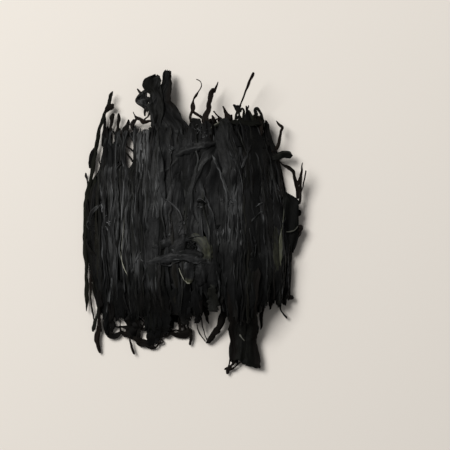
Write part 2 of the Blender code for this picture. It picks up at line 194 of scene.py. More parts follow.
def drift(rng, count, sigma, reach):
    """A smooth random row of numbers within about plus or minus reach."""
    extra = 20
    row = smoothed(np.array([rng.gauss(0, 1) for _ in range(count + 2 * extra)]), sigma)[extra : extra + count]
    return row / max(1e-6, np.abs(row).max()) * reach


# ---------------------------------------------------------------- the skin

def arch():
    """Arrays of x (-1 to 1), z (0 to 1) and the share of the way over the skin's cross-section, and its length."""
    x = -np.cos(np.linspace(0, math.pi, 321))
    n, m = (np.where(x < 0, left, right) for left, right in zip(LEFT_ROUNDING, RIGHT_ROUNDING))
    z = np.maximum(0, 1 - np.abs(x) ** n) ** (1 / m)
    steps = np.hypot(np.diff(x) * SKIN_WIDTH / 2, np.diff(z) * SKIN_HEIGHT)
    return x, z, np.concatenate([[0], np.cumsum(steps)]) / steps.sum(), steps.sum()


ARCH_X, ARCH_Z, ARCH_SHARES, ARCH_LENGTH = arch()


def rise(y):
    along = np.abs(y - SKIN_MIDDLE_Y) / SKIN_HALF_LENGTH
    inside = END_HEIGHT_SHARE + (1 - END_HEIGHT_SHARE) * np.sqrt(np.maximum(0, 1 - np.minimum(along, 1) ** 4))
    return np.where(along < 1, inside, END_HEIGHT_SHARE * np.maximum(0.25, 1 - 1.6 * (along - 1)))


def thinned(x, y):
    """The share of its full height that the bundle has at a place."""
    corner = smoothstep(*CORNER_X, x) * smoothstep(*CORNER_Y, y)
    return (1 - CORNER_DROP * corner) * (1 - FOOT_DROP * smoothstep(*FOOT_X, x) * smoothstep(*FOOT_Y, y))


def skin(share, y):
    """Points of the skin, and the outward direction there."""
    def over(share, values):
        return np.interp(share, ARCH_SHARES, values)

    share = np.clip(share, *POINT_SHARES)
    left = outline(LEFT_EDGE, y)
    half = (outline(RIGHT_EDGE, y) - left) / 2
    x = left + half * (1 + over(share, ARCH_X))
    height = SKIN_HEIGHT * rise(y) * thinned(x, y)
    step = 0.01
    dx = half * (over(share + step, ARCH_X) - over(share - step, ARCH_X))
    dz = height * (over(share + step, ARCH_Z) - over(share - step, ARCH_Z))
    size = np.hypot(dx, dz)
    outward = np.stack([-dz / size, np.zeros_like(dx), dx / size], axis=-1)
    return np.stack([x, y * np.ones_like(x), height * over(share, ARCH_Z)], axis=-1), outward


def x_at(share, y):
    """The x of the skin at one share of the way over it and one y."""
    return float(skin(np.array([share]), np.array([y]))[0][0, 0])


def x_between(share, y):
    """The x at a share of the straight way from the left edge to the right one."""
    return outline(LEFT_EDGE, y) * (1 - share) + outline(RIGHT_EDGE, y) * share


def bed(share, y):
    """How far under the skin the bed lies."""
    depth = BED_DEPTH * smoothstep(0.0, 0.13, share) * smoothstep(0.0, 0.07, 1 - share)
    return depth * thinned(x_between(share, y), y)


def share_at(x, y):
    """The share of the way over the skin that lies above or below x at y."""
    left, right = outline(LEFT_EDGE, y), outline(RIGHT_EDGE, y)
    return np.interp(2 * (x - left) / (right - left) - 1, ARCH_X, ARCH_SHARES)


def straightened(share, y):
    """The shares of paths that keep to one x at the left of the bundle, away from its edge."""
    here, there = skin(share, y)[0][:, 0], skin(share, 0 * y)[0][:, 0]
    free = smoothstep(0.02, 0.09, share) * smoothstep(0.62, 0.48, share)
    x = here + (there - here) * free
    return share_at(x, y), x > outline(LEFT_EDGE, y) - 1.5 * MM


def place(share, y, lift):
    """Points at a lift over the bed, and the outward direction there."""
    point, outward = skin(share, y)
    return point + outward * (lift - bed(share, y))[..., None], outward


# ---------------------------------------------------------------- the heap's height

class Heap:
    """The height over the bed of all that has been laid, over the way across the skin and y."""

    def __init__(self, rng):
        self.size = (int(ARCH_LENGTH / CELL) + 2, int((MAP_Y[1] - MAP_Y[0]) / CELL) + 2)
        a = np.arange(self.size[0])[:, None] * CELL
        y = np.arange(self.size[1]) * CELL + MAP_Y[0]
        self.z = np.zeros(self.size) + 0.6 * MM
        for _ in range(7):
            ka, ky = rng.uniform(0.7, 2.6) / (30 * MM), rng.uniform(-1, 1) / (42 * MM)
            self.z = self.z + 0.42 * MM * np.sin(ka * a + ky * y + rng.uniform(0, math.tau))

    def cells(self, across, y):
        return tuple(np.clip(np.rint(at / CELL).astype(int), 0, size - 1)
                     for at, size in zip((across, y - MAP_Y[0]), self.size))

    def under(self, across, y):
        return self.z[self.cells(across, y)]

    def add(self, across, y, top):
        np.maximum.at(self.z, self.cells(across, y), top)


def beside(share, y):
    """The way across the skin along a path, and the directions, over the map, that run square to the path."""
    across = share * ARCH_LENGTH
    da, dy = np.gradient(across), np.gradient(y)
    size = np.maximum(np.hypot(da, dy), 1e-9)
    return across, dy / size, -da / size


def aside(across, ra, y, ry, reach):
    """The places on the map at reaches to the side of a path."""
    return across[:, None] + ra[:, None] * reach, y[:, None] + ry[:, None] * reach


def laid(heap, share, y, widths, thick, stiff, press, proud=STAND_PROUD):
    """The lift of a strip's underside along its path, in metres. The strip is stiff over about a length, and pressed in
    a bit."""
    across, ra, ry = beside(share, y)
    step = np.hypot(np.diff(across), np.diff(y)).mean()
    below = heap.under(*aside(across, ra, y, ry, np.linspace(-0.42, 0.42, 5) * widths[:, None]))
    lift = 0.65 * below.max(1) + 0.35 * below.mean(1)
    lift = highest_near(lift, max(1, int(0.5 * stiff / step)))
    lift = smoothed(lift, stiff / step) - press
    lift = np.clip(lift, 0, np.maximum(0, bed(share, y) + proud - thick))
    dense = max(len(y), int(len(y) * step / CELL * 1.3))
    t, fine = np.linspace(0, 1, len(y)), np.linspace(0, 1, dense)
    a, yy, w, z, ua, uy = (np.interp(fine, t, v) for v in (across, y, widths, lift, ra, ry))
    side = np.linspace(-1, 1, 2 + int(widths.max() / CELL * 1.4))
    top = z[:, None] + thick * (0.3 + 0.6 * np.sqrt(1 - side**2))
    heap.add(*aside(a, ua, yy, uy, side * (w / 2)[:, None]), top)
    return lift


# ---------------------------------------------------------------- meshes

def linked(name, data):
    """A new object of the scene."""
    thing = bpy.data.objects.new(name, data)
    bpy.context.scene.collection.objects.link(thing)
    return thing


def grid_of(tone, *shape):
    """One tone, or a grid of tones, as a new grid of this shape."""
    return np.array(np.broadcast_to(np.asarray(tone, float), (*shape, 3)))


class Kind:
    """All the strips or leaves of one kind, joined into one mesh."""

    def __init__(self, name):
        self.name = name
        self.points, self.quads, self.triangles, self.coords, self.tones, self.ridges = [], [], [], [], [], []
        self.count = 0

    def add(self, points, quads, triangles, coords, tone, ridges=None):
        """ridges number the points: the edges between points of one number, from zero up, are sharp."""
        self.points.append(points)
        self.quads.append(np.asarray(quads, int).reshape(-1, 4) + self.count)
        self.triangles.append(np.asarray(triangles, int).reshape(-1, 3) + self.count)
        self.coords.append(coords)
        tones = grid_of(tone, len(points))
        # Painted light and shade by region, with some uneven tone
        tones[:, 0] *= painted_light_by_region(points[:, 0] / MM, points[:, 1] / MM)
        self.tones.append(tones)
        self.ridges.append(np.full(len(points), -1) if ridges is None else ridges)
        self.count += len(points)

    def finish(self, material):
        quads, triangles = np.vstack(self.quads), np.vstack(self.triangles)
        mesh = bpy.data.meshes.new(self.name)
        mesh.vertices.add(self.count)
        mesh.vertices.foreach_set("co", np.vstack(self.points).ravel())
        corners = np.concatenate([quads.ravel(), triangles.ravel()])
        sizes = np.concatenate([np.full(len(quads), 4), np.full(len(triangles), 3)])
        mesh.loops.add(len(corners))
        mesh.loops.foreach_set("vertex_index", corners)
        mesh.polygons.add(len(sizes))
        mesh.polygons.foreach_set("loop_start", np.concatenate([[0], np.cumsum(sizes)[:-1]]))
        mesh.polygons.foreach_set("loop_total", sizes)
        mesh.polygons.foreach_set("use_smooth", np.ones(len(sizes), bool))
        mesh.update(calc_edges=True)
        edges = np.empty(2 * len(mesh.edges), np.int32)
        mesh.edges.foreach_get("vertices", edges)
        one, other = np.concatenate(self.ridges)[edges].reshape(-1, 2).T
        mesh.edges.foreach_set("use_edge_sharp", (one == other) & (one >= 0))
        for name, rows in (("strip_coords", self.coords), ("strip_tone", self.tones)):
            layer = mesh.attributes.new(name, "FLOAT_VECTOR", "POINT")
            layer.data.foreach_set("vector", np.vstack(rows).ravel())
        mesh.materials.append(material)
        piece = linked(self.name, mesh)
        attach(piece, BODY)
        return piece


# Painted shade, with some uneven tone: where the bundle gets darker, by what share, and the x and y over which that
# sets in. Y from -201 means everywhere.
PAINTED_FADES = (
    (-0.12, -38, -44, -201, -200), (-0.32, -44, -36, 20, 30), (-0.2, -44, -36, -4, -12), (-0.4, 8, 22, 44, 60),
    (-0.45, -36, -26, 72, 82), (-0.75, -76, -84, -201, -200),
)
# Painted light and shade, with some uneven tone: where it is lighter or darker than around, by what share, and x and y
# from and to
PAINTED_LIGHTNESS = (
    (-0.26, -14, 4, -8, 34), (-0.3, 20, 58, -78, -28), (-0.25, -86, -74, -95, 4), (0.3, 46, 72, 38, 82),
    (-0.26, 44, 58, -50, 36), (-0.25, 26, 60, -60, -34), (-0.15, 29, 38, -8, 12), (-0.2, 0, 12, -8, 14),
    (0.3, 64, 84, -46, 30), (-0.12, -80, -20, -58, -38), (0.5, -58, -46, 50, 74), (-0.24, -52, -35, -32, 32),
    (-0.42, 19, 29, -8, 34), (0.7, -47, -35, 46, 72), (-0.15, -20, -4, -8, 14), (-0.22, -30, -20, -8, 14),
)


def painted_light_by_region(x, y):
    """Painted light and shade, with some of the bundle's own uneven tone: greyer at the left and in the middle, darker
    at the edges, at the right and towards the lower end.
    """
    light = 1.0 - 0.38 * smoothstep(41, 45, x) + 0.15 * smoothstep(54, 66, x)
    low = 3 - y + 4 * np.sin(x / 4.6) + 5 * np.sin(x / 11 + 1)
    light = light * (1 - 0.48 * smoothstep(54, 66, low))
    for change, x0, x1, y0, y1 in PAINTED_FADES:
        light = light * (1 + change * smoothstep(x0, x1, x) * smoothstep(y0, y1, y))
    for change, x0, x1, y0, y1 in PAINTED_LIGHTNESS:
        light = light * (1 + change * within(x0, x1, 3, x) * within(y0, y1, 5, y))
    return light


def unit(rows):
    return rows / np.maximum(np.linalg.norm(rows, axis=-1, keepdims=True), 1e-9)


def run_along(path):
    """How far along a path its points lie, in millimetres."""
    return np.concatenate([[0], np.cumsum(np.linalg.norm(np.diff(path, axis=0), axis=1))]) / MM


def tube_faces(count, sides):
    """The quads of a tube through rings of points."""
    j, k = np.meshgrid(np.arange(count - 1), np.arange(sides), indexing="ij")
    k2 = (k + 1) % sides
    return np.stack([j * sides + k, (j + 1) * sides + k, (j + 1) * sides + k2, j * sides + k2], axis=-1).reshape(-1, 4)


def sweep(kind, rng, path, ups, widths, thick, twist, curl, sides, tone, rough=0.22):
    """A shrivelled strip along a path: flat, twisted, curled across and ridged along its length."""
    count = len(path)
    ahead = unit(np.gradient(path, axis=0))
    side = unit(np.cross(ahead, ups))
    up = np.cross(side, ahead)
    cos, sin = np.cos(twist)[:, None], np.sin(twist)[:, None]
    side, up = side * cos + up * sin, up * cos - side * sin
    angle = math.tau * (np.arange(sides) + 0.5) / sides
    wide = np.cos(angle)
    ridge = np.array([rng.uniform(-1, 1) for _ in range(sides)])
    flow = np.stack([drift(rng, count, 2.2, 1) for _ in range(sides)], axis=1)
    swell = 1 + rough * (0.8 * ridge + 1.1 * flow)
    out = wide * swell * widths[:, None] / 2
    high = np.sin(angle) * (1 + 1.5 * (swell - 1)) * thick / 2
    high = high + curl[:, None] * widths[:, None] * (wide**2 - 0.5)
    points = path[:, None, :] + side[:, None, :] * out[..., None] + up[:, None, :] * high[..., None]
    ends = [path[k] + way * ahead[k] * widths[k] * rng.uniform(0.1, 0.5) for k, way in ((0, -1), (-1, 1))]
    points = np.vstack([points.reshape(-1, 3), ends])
    points[:, 2] = np.maximum(points[:, 2], FLOOR_GAP)
    k, size = np.arange(sides), count * sides
    k2 = (k + 1) % sides
    start = np.stack([np.full(sides, size), k, k2], axis=-1)
    stop = np.stack([np.full(sides, size + 1), size - sides + k2, size - sides + k], axis=-1)
    coords = np.empty((count, sides, 3))
    coords[..., 0] = wide * widths.mean() / 2 / MM
    coords[..., 1] = run_along(path)[:, None]
    coords[..., 2] = rng.uniform(0, 400)
    tones = grid_of(tone, count, sides)
    # Painted highlight: the strip's edges lighter, and lighter and darker stretches along it for the glints where it
    # twists
    tones[..., 0] *= (1 + drift(rng, count, 2.4, 0.55))[:, None] * (0.75 + 0.7 * wide**4)
    coords, tones = (np.vstack([grid.reshape(-1, 3), grid[0, :1], grid[-1, :1]]) for grid in (coords, tones))
    sharp = np.where((ridge > 0) | (np.abs(wide) > 0.9), k, -1)
    kind.add(points, tube_faces(count, sides), np.vstack([start, stop]), coords, tones,
             np.append(np.tile(sharp, count), (-1, -1)))


def blade(kind, rng, top, ups, thick, tones, calm):
    """A thin leaf under a grid of points, along it and across it. calm stretches the pattern of the material."""
    rows, columns = top.shape[:2]
    half = rows * columns
    points = np.vstack([top.reshape(-1, 3), (top - ups * thick).reshape(-1, 3)])
    points[:, 2] = np.maximum(points[:, 2], FLOOR_GAP)
    points[:half, 2] = np.maximum(points[:half, 2], FLOOR_GAP + thick)
    j, m = np.meshgrid(np.arange(rows - 1), np.arange(columns - 1), indexing="ij")
    a, d = j * columns + m, (j + 1) * columns + m
    face = np.stack([a, a + 1, d + 1, d], axis=-1).reshape(-1, 4)
    rim = np.concatenate([
        np.arange(columns), np.arange(1, rows) * columns + columns - 1,
        (rows - 1) * columns + np.arange(columns - 2, -1, -1), np.arange(rows - 2, 0, -1) * columns,
    ])
    after = np.roll(rim, -1)
    edge = np.stack([rim, rim + half, after + half, after], axis=-1)
    middle = top[:, columns // 2]
    wide = np.linalg.norm(top - middle[:, None], axis=-1) / MM
    wide = np.where(np.arange(columns) < columns // 2, -wide, wide)
    coords = np.stack([0.6 * calm * wide, np.broadcast_to(2.4 * calm * run_along(middle)[:, None], wide.shape),
                       np.full(wide.shape, rng.uniform(0, 400))], -1)
    coords, tones = (np.vstack([grid.reshape(-1, 3)] * 2) for grid in (coords, tones))
    kind.add(points, np.vstack([face, face[:, ::-1] + half, edge]), [], coords, tones)


# ---------------------------------------------------------------- laying strips and leaves

def dodged(share, y, widths):
    """A path bent round the windows in the loose edge."""
    x = skin(share, y)[0][:, 0]
    for wx, wy, rx, ry in WINDOWS:
        near = np.exp(-np.abs((y - wy * MM) / (ry * MM)) ** 4)
        if near.max() < 0.05:
            continue
        gap = x - wx * MM
        way = 1 if gap[near.argmax()] > 0 else -1
        short = np.maximum(0, (rx * MM + widths / 2) - way * gap)
        x = x + way * np.where(short < 12 * MM, short, 0) * near
    return share_at(x, y)


def flowing(rng):
    """The slow sideways sway that neighbouring strips share."""
    parts = [
        (rng.uniform(0.3, 1) * FLOW_REACH, rng.uniform(-1, 1) * 5, rng.uniform(0.6, 1.9) / (30 * MM),
         rng.uniform(0, math.tau))
        for _ in range(5)
    ]
    return lambda share, y: sum(size * np.sin(ks * share + ky * y + start) for size, ks, ky, start in parts) / 2


def tip_taper(count, start, end, lead=0.1):
    """A share of the width at each station, thinner over the lead at both ends."""
    t = np.linspace(0, 1, count)
    return np.minimum(start + (1 - start) * smoothstep(0, lead, t), end + (1 - end) * smoothstep(0, lead, 1 - t))


def lay_strip(kind, heap, rng, flow, share, low, high, width, thick, tone, lean, count, sway, twist, sides):
    """One strip over the heap from low y to high y, as far as the outline goes. It dives between others in places."""
    thick = thick * MM
    slack = rng.uniform(-2, 1.8) * MM, rng.uniform(-2.4, 1.2) * MM
    y = np.linspace(low, high, count)
    widths = width * MM * (0.9 + drift(rng, count, 3, 0.36))
    widths = widths * tip_taper(count, rng.uniform(0.2, 0.6), rng.uniform(0.2, 0.6))
    bend = wave(rng, sway * MM / ARCH_LENGTH, rng.uniform(14, 40) * MM)
    shares = share + flow(share, y) + bend(y) + lean * (y - (low + high) / 2) / ARCH_LENGTH
    shares, inside = straightened(np.clip(shares, *STRIP_SHARES), y)
    x = skin(shares, y)[0][:, 0]
    kept = np.flatnonzero(inside & (y > outline(BOTTOM_END, x) - slack[0]) & (y < outline(TOP_END, x) + slack[1]))
    if len(kept) < 6:
        return
    stations = np.linspace(y[kept[0]], y[kept[-1]], count)
    shares, y = np.interp(stations, y, shares), stations
    shares = shares + drift(rng, count, 1.8, 0.35 * MM) / ARCH_LENGTH
    edge = outline(LEFT_EDGE, y) + (widths / 2 + 2 * MM) * smoothstep(*CORNER_Y, y)
    shares = dodged(np.clip(shares, np.maximum(STRIP_SHARES[0], share_at(edge, y)), STRIP_SHARES[1]), y, widths)
    sunk = 0.2 * MM + np.maximum(0, drift(rng, count, 6, 1.2 * MM))
    lift = laid(heap, shares, y, widths, thick, 4 * MM, sunk)
    path, ups = place(shares, y, lift + thick / 2)
    turn = drift(rng, count, 4, twist) + rng.uniform(-0.25, 0.25)
    sweep(kind, rng, path, ups, widths, thick, turn, drift(rng, count, 5, 0.2), sides, tone)


def crease_rows():
    """Dense points along every crease: x, y, width and height."""
    count = 60
    swell = np.sin(np.linspace(0.15, math.pi - 0.15, count)) ** 0.6
    return MM * np.vstack([
        np.column_stack([spline(points, 2, count), np.full(count, width), height * swell])
        for width, height, *points in CREASES
    ])


def creased(points):
    """How far the creases that run over it lift each point of a leaf."""
    flat = points.reshape(-1, 3)
    low, high = flat[:, :2].min(0) - 3 * MM, flat[:, :2].max(0) + 3 * MM
    near = CREASE_ROWS[((CREASE_ROWS[:, :2] > low) & (CREASE_ROWS[:, :2] < high)).all(1)]
    if not len(near):
        return np.zeros(points.shape[:2])
    gap = np.hypot(flat[:, 0, None] - near[:, 0], flat[:, 1, None] - near[:, 1])
    lift = (near[:, 3] * np.exp(-((gap / (near[:, 2] / 2)) ** 1.6))).max(1)
    return lift.reshape(points.shape[:2])


def lay_leaf(kind, heap, rng, rows, tone, count=50, wrinkle=0.3, fine=0.2, sink=1.5, ragged=0.8, highlight_contrast=0.7, calm=0.6,
             over=0.4, lifted=0.2, proud=3.4, wavy=0.5, thick=0.6, grain=0.7):
    """A leaf that drapes over the heap, wrinkled along its length and painted lighter on the crests, as the highlight
    that they catch. rows are x, y and width along its middle. Its edges sink, or are lifted in places, and its ends are
    tucked in."""
    wrinkle, fine, sink, ragged, over, lifted, proud, wavy, thick, grain = MM * np.array(
        (wrinkle, fine, sink, ragged, over, lifted, proud, wavy, thick, grain))
    rows = spline(rows, 3, count)
    share = share_at(rows[:, 0] * MM, rows[:, 1] * MM)
    y = rows[:, 1] * MM
    across, ra, ry = beside(share, y)
    step = np.hypot(np.diff(across), np.diff(y)).mean()
    widths = np.maximum(rows[:, 2] * MM, 0.6 * MM)
    columns = max(8, int(widths.max() / grain))
    left, right = drift(rng, count, 1.6, ragged), drift(rng, count, 1.6, ragged)
    side = np.linspace(-1, 1, columns)
    reach = side * (widths / 2)[:, None]
    reach = reach + np.where(side < 0, left[:, None] * -side, right[:, None] * side)
    aa, yy = aside(across, ra, y, ry, reach)
    below = highest_near(highest_near(heap.under(aa, yy), 1), 2, 1)
    soft = 3 * MM
    lift = smoothed(smoothed(below, soft / step), 0.6 * soft / grain, 1)
    shares = np.clip(aa / ARCH_LENGTH, *POINT_SHARES)
    drawn = creased(place(shares, yy, lift)[0]) / MM

    def bumps(long, wide):
        return field(rng, count, columns, long * MM / step, wide * MM / grain)

    large = np.exp(-np.abs(bumps(26, 8)) / 0.22)
    large = large * smoothstep(-0.5, 0.5, bumps(24, 12))
    small = np.exp(-np.abs(bumps(6, 3)) / 0.4)
    relief = np.maximum(drawn * MM, wrinkle * large) + fine * small
    relief = relief + wavy * bumps(20, 9)
    relief = relief - sink * np.abs(side) ** 3
    relief = relief + lifted * np.abs(side) ** 5 * (0.2 + drift(rng, count, 4, 1.2))[:, None]
    t = np.linspace(0, 1, count)
    lift = lift + relief * both_ends(0.08, t)[:, None] - 1.2 * MM * (1 - both_ends(0.14, t))[:, None]
    lift = lift - 0.3 * MM + thick + over
    room = bed(shares, yy) + STAND_PROUD + proud - rng.uniform(0, 0.5) * MM - lift
    lift = np.maximum(0.3 * MM, lift + room - LEAF_PROUD * np.logaddexp(0, room / LEAF_PROUD))
    top, ups = place(shares, yy, lift)
    for shift in (0, 0.5, -0.5):
        heap.add(aa + shift * CELL, yy + shift * CELL, lift)
    tones = grid_of(tone(t[:, None], side) if callable(tone) else tone, count, columns)
    # Painted highlight: lighter on the creases and the wrinkles' crests, with some uneven tone
    crest_light_and_tone = np.clip(drawn, 0, 1) * 1.2 + 0.7 * large + 0.2 * small + 0.35 * field(rng, count, columns, 14, 10)
    tones[..., 0] *= np.clip(0.7 + 0.25 * (1 - highlight_contrast) + highlight_contrast * crest_light_and_tone, 0.3, 2.4)
    blade(kind, rng, top, ups, thick, tones, calm)


def lay_line(kind, heap, rng, points, width, light, count=60, thick=1.1):
    """A thin strip or fold over the heap through x and y points."""
    thick = thick * MM
    rows = spline(points, 2, count) * MM
    rows[:, 0] += drift(rng, count, 2, 0.35 * MM)
    share = share_at(rows[:, 0], rows[:, 1])
    widths = width * MM * (0.85 + drift(rng, count, 3, 0.4)) * tip_taper(count, 0.2, 0.2, 0.2)
    sunk = 0.45 * MM + 0.8 * MM * (1 - both_ends(0.15, np.linspace(0, 1, count)))
    lift = laid(heap, share, rows[:, 1], widths, thick, 2 * MM, sunk, 4 * MM)
    path, ups = place(share, rows[:, 1], lift + thick / 2)
    sweep(kind, rng, path, ups, widths, thick, drift(rng, count, 4, 0.5), drift(rng, count, 5, 0.2), 8, (light, 0, 0))


def lay_lines(kind, heap, rng, table, **options):
    for width, light, *points in table:
        lay_line(kind, heap, rng, points, width, light, **options)


def free_strip(kind, rng, points, width, thick, tone, count=26, start=0.5, end=0.3, twist=0.9, sides=8, rough=0.25,
               wobble=0.5, curl=0.15, lead=0.2, lean=0.4):
    """A strip in the open through x, y and z points. width is one number, or the widths at the points."""
    path = spline(points, 3, count) * MM
    for axis, share in ((0, 1), (1, 0.6), (2, 0.5)):
        path[:, axis] += drift(rng, count, 2.2, wobble * MM * share)
    if np.ndim(width):
        widths = np.maximum(spline(np.multiply(width, MM), 1, count)[:, 0], 0.5 * MM)
    else:
        widths = width * MM * (0.88 + drift(rng, count, 2.5, 0.3))
    widths = widths * tip_taper(count, start, end, lead)
    ups = np.tile((0.0, 0.0, 1.0), (count, 1))
    turn = drift(rng, count, 4, twist) + rng.uniform(-lean, lean)
    bowl = drift(rng, count, 4, curl)
    thick = thick * MM
    path[:, 2] = np.maximum(path[:, 2], thick * 0.5 + 0.3 * MM)
    sweep(kind, rng, path, ups, widths, thick, turn, bowl, sides, tone, rough)


def traced(kind, rng, table, low=0.06, high=0.2, crumple=1.0):
    """Strips as their table gives them: thickness, brownness or, below zero, greenness, the heights of root and tip,
    and x, y and width of the points."""
    for thick, brown, root, tip, *points in table:
        points = np.reshape(points, (-1, 3)).astype(float)
        length = np.hypot(*np.diff(points[:, :2], axis=0).T).sum()
        path = np.column_stack([points[:, :2], np.linspace(root, tip, len(points))])
        free_strip(kind, rng, path, points[:, 2], thick, (rng.uniform(low, high), max(0, -brown), max(0, brown)),
                   int(np.clip(1.3 * length, 16, 110)), 0.75, 0.75, 0.3 * crumple, 8, 0.3 * crumple, 0.3 * crumple,
                   0.12 * crumple, 0.05, 0.15)


def free_leaf(kind, rng, rows, thick, tone, columns, count, wrinkle, ragged, highlight_contrast, long=20):
    """A leaf in the open. rows are y, left x, right x and z from its root to its tip."""
    thick, wrinkle, ragged = thick * MM, wrinkle * MM, ragged * MM
    rows = spline(rows, 4, count) * MM
    side, t = np.linspace(0, 1, columns), np.linspace(0, 1, count)
    left = rows[:, 1] + drift(rng, count, 1.1, ragged)
    right = rows[:, 2] + drift(rng, count, 1.1, ragged)
    x = left[:, None] + (right - left)[:, None] * side
    y = rows[:, 0][:, None] + drift(rng, columns, 1.2, 0.9 * MM) * smoothstep(0.8, 1, t)[:, None]
    z = rows[:, 3][:, None] + 0.7 * MM * np.sin(math.tau * (1.2 * side + 1.4 * t[:, None]) + rng.uniform(0, 6))
    large = np.exp(-np.abs(field(rng, count, columns, long, 5)) / 0.4)
    small = np.exp(-np.abs(field(rng, count, columns, 0.4 * long, 2.2)) / 0.5)
    top = np.stack([x, y, z + wrinkle * large + 0.35 * wrinkle * small], axis=-1)
    tones = grid_of(tone, count, columns)
    # Painted highlight: lighter where the wrinkles rise
    tones[..., 0] *= 0.5 + 0.4 * (1 - highlight_contrast) + highlight_contrast * (0.8 * large + 0.5 * small)
    blade(kind, rng, top, np.array((0.0, 0.0, 1.0)), thick, tones, 0.6)


# ---------------------------------------------------------------- the bundle

def some_tone(rng, light, spread=0.42):
    return light * math.exp(rng.gauss(0, spread)), max(0, rng.gauss(0, 0.03)), max(0, rng.gauss(0, 0.09))


def core_mass(rng):
    """The dense mass inside, painted dark as the shade deep inside the bundle, whose ends follow the bundle's outline.
    """
    kind = Kind("core_mass")
    rings, sides = 44, 80
    size = 2 * sides
    long = np.linspace(0, 1, rings)
    y = CORE_ENDS[0] + (CORE_ENDS[1] - CORE_ENDS[0]) * long
    low = share_at(outline(CORE_LEFT, y), y)
    share = low[:, None] + (CORE_RIGHT - low[:, None]) * np.linspace(0, 1, sides)
    x = skin(share, np.zeros_like(share))[0][..., 0]
    bottom = np.maximum(CORE_ENDS[0], outline(BOTTOM_END, x) + 12 * MM)
    top = np.minimum(CORE_ENDS[1], outline(TOP_END, x) - 12 * MM)
    ridges = np.stack([drift(rng, rings, 5, 0.7 * MM) for _ in range(sides)], axis=1)
    point, _ = place(share, bottom + (top - bottom) * long[:, None], ridges - 0.9 * MM)
    ends = np.sqrt(np.clip(1 - np.abs(2 * long - 1) ** 12, 0.02, 1))
    point[..., 2] = np.maximum(point[..., 2] * (0.5 + 0.5 * ends)[:, None], 1.2 * MM)
    under = point[:, ::-1].copy()
    under[..., 2] = 0.9 * MM + 0.1 * MM * np.sin(under[..., 0] / MM * 0.9)
    points = np.concatenate([point, under], axis=1).reshape(-1, 3)
    caps = []
    for first, flip in ((0, 1), ((rings - 1) * size, -1)):
        for m in range(sides - 1):
            far = first + size - 1 - m
            caps.append([first + m, first + m + 1, far - 1, far][::flip])
    # Painted near-black, as shade
    kind.add(points, np.vstack([tube_faces(rings, size), caps]), [], points / MM * (1, 1, 0), (0.05, 0, 0))
    return kind


def underside(rng, kind):
    """Strips side by side that the bundle rests on."""
    share = UNDERSIDE_SHARES[0]
    while share < UNDERSIDE_SHARES[1]:
        width = rng.uniform(4, 7.5)
        at = share + width * MM / 2 / SKIN_WIDTH
        x = float(x_between(at, 0))
        top = float(outline(TOP_END, x)) - rng.uniform(6, 16) * MM
        bottom = float(outline(BOTTOM_END, x)) + rng.uniform(4, 12) * MM
        if CORNER_GAP_X[0] < x < CORNER_GAP_X[1]:
            top = rng.uniform(8, 20) * MM
        y = np.linspace(bottom, top, 7)
        x = x_between(at, y) + drift(rng, 7, 1.5, 0.8 * MM)
        points = np.column_stack([x, y, np.full(7, 1.0 * MM)]) / MM
        free_strip(kind, rng, points, width * 1.15, 1.3, (0.3, 0, 0), 30, twist=0.06, sides=6, wobble=0.3, lead=0.08)
        share += width * MM * 0.92 / SKIN_WIDTH


# The layers of strips, under the leaves of the middle and over them: piece, count, share of the way over the skin from
# and to, width from and to, thickness from and to, how many are short, lean, sway, twist and lightness
LOWER_LAYERS = (
    ("left_strands", 19, 0.02, 0.37, 4.6, 7.0, 1.8, 2.6, 0.1, 0.02, 0.7, 0.4, 0.24),
    ("middle_strands", 30, 0.34, 0.72, 4.0, 7.6, 1.6, 2.4, 0.2, 0.06, 1.0, 0.4, 0.35),
    ("right_strands", 22, 0.68, 0.985, 4.4, 7.4, 1.9, 2.8, 0.1, 0.05, 1.0, 0.4, 0.36),
    ("left_strands", 32, 0.02, 0.38, 2.6, 4.4, 1.3, 2.0, 0.25, 0.03, 0.7, 0.6, 0.38),
    ("right_strands", 20, 0.68, 0.985, 3.0, 5.2, 1.4, 2.1, 0.45, 0.05, 1.1, 0.7, 0.42),
)
UPPER_LAYERS = (
    ("fine_strands", 44, 0.02, 0.37, 1.4, 2.8, 0.9, 1.5, 0.5, 0.03, 0.7, 0.8, 0.46),
    ("middle_strands", 6, 0.36, 0.68, 1.2, 2.4, 0.9, 1.4, 1.0, 0.12, 1.2, 0.8, 0.5),
    ("right_strands", 11, 0.7, 0.985, 1.6, 3.2, 1.0, 1.6, 0.8, 0.06, 1.2, 0.9, 0.46),
)


def body(rng, heap, flow, kinds):
    """Strips laid from the bed up: wide ones, then narrower ones, with leaves over the middle."""
    def shuffled(count, low, high):
        order = list(range(count))
        rng.shuffle(order)
        return [low + (high - low) * (k + rng.random()) / count for k in order]

    def ends(share, *slack):
        return [float(outline(edge, x_at(share, end * 75 * MM))) + end * rng.uniform(*slack) * MM
                for end, edge in ((-1, BOTTOM_END), (1, TOP_END))]

    def lay_layers(layers):
        for name, count, low, high, w0, w1, t0, t1, short, lean, sway, twist, light in layers:
            for share in shuffled(count, low, high):
                bottom, top = ends(share, -6, 2.5)
                if rng.random() < short:
                    length = rng.uniform(0.3, 0.75) * (top - bottom)
                    bottom = rng.choice((bottom, top - length, rng.uniform(bottom, top - length)))
                    top = bottom + length
                stations = int(np.clip(STATIONS_PER_METRE * (top - bottom), 24, 104))
                lay_strip(kinds[name], heap, rng, flow, share, bottom, top, rng.uniform(w0, w1), rng.uniform(t0, t1),
                          some_tone(rng, light, 0.42 if high < 0.4 else 0.24), rng.uniform(-lean, lean), stations,
                          sway, twist, 10)

    # The strips under all the rest, painted dark as the shade they lie in
    for share in shuffled(40, 0.12, 0.98):
        bottom, top = ends(share, -10, -1)
        lay_strip(kinds["under_strips"], heap, rng, flow, share, bottom, top, rng.uniform(5.5, 9), 2.0,
                  some_tone(rng, 0.1), rng.uniform(-0.03, 0.03), 54, 1.4, 0.3, 8)
    lay_layers(LOWER_LAYERS)
    middle_leaves(rng, heap, kinds["body_leaves"])
    lay_layers(UPPER_LAYERS)
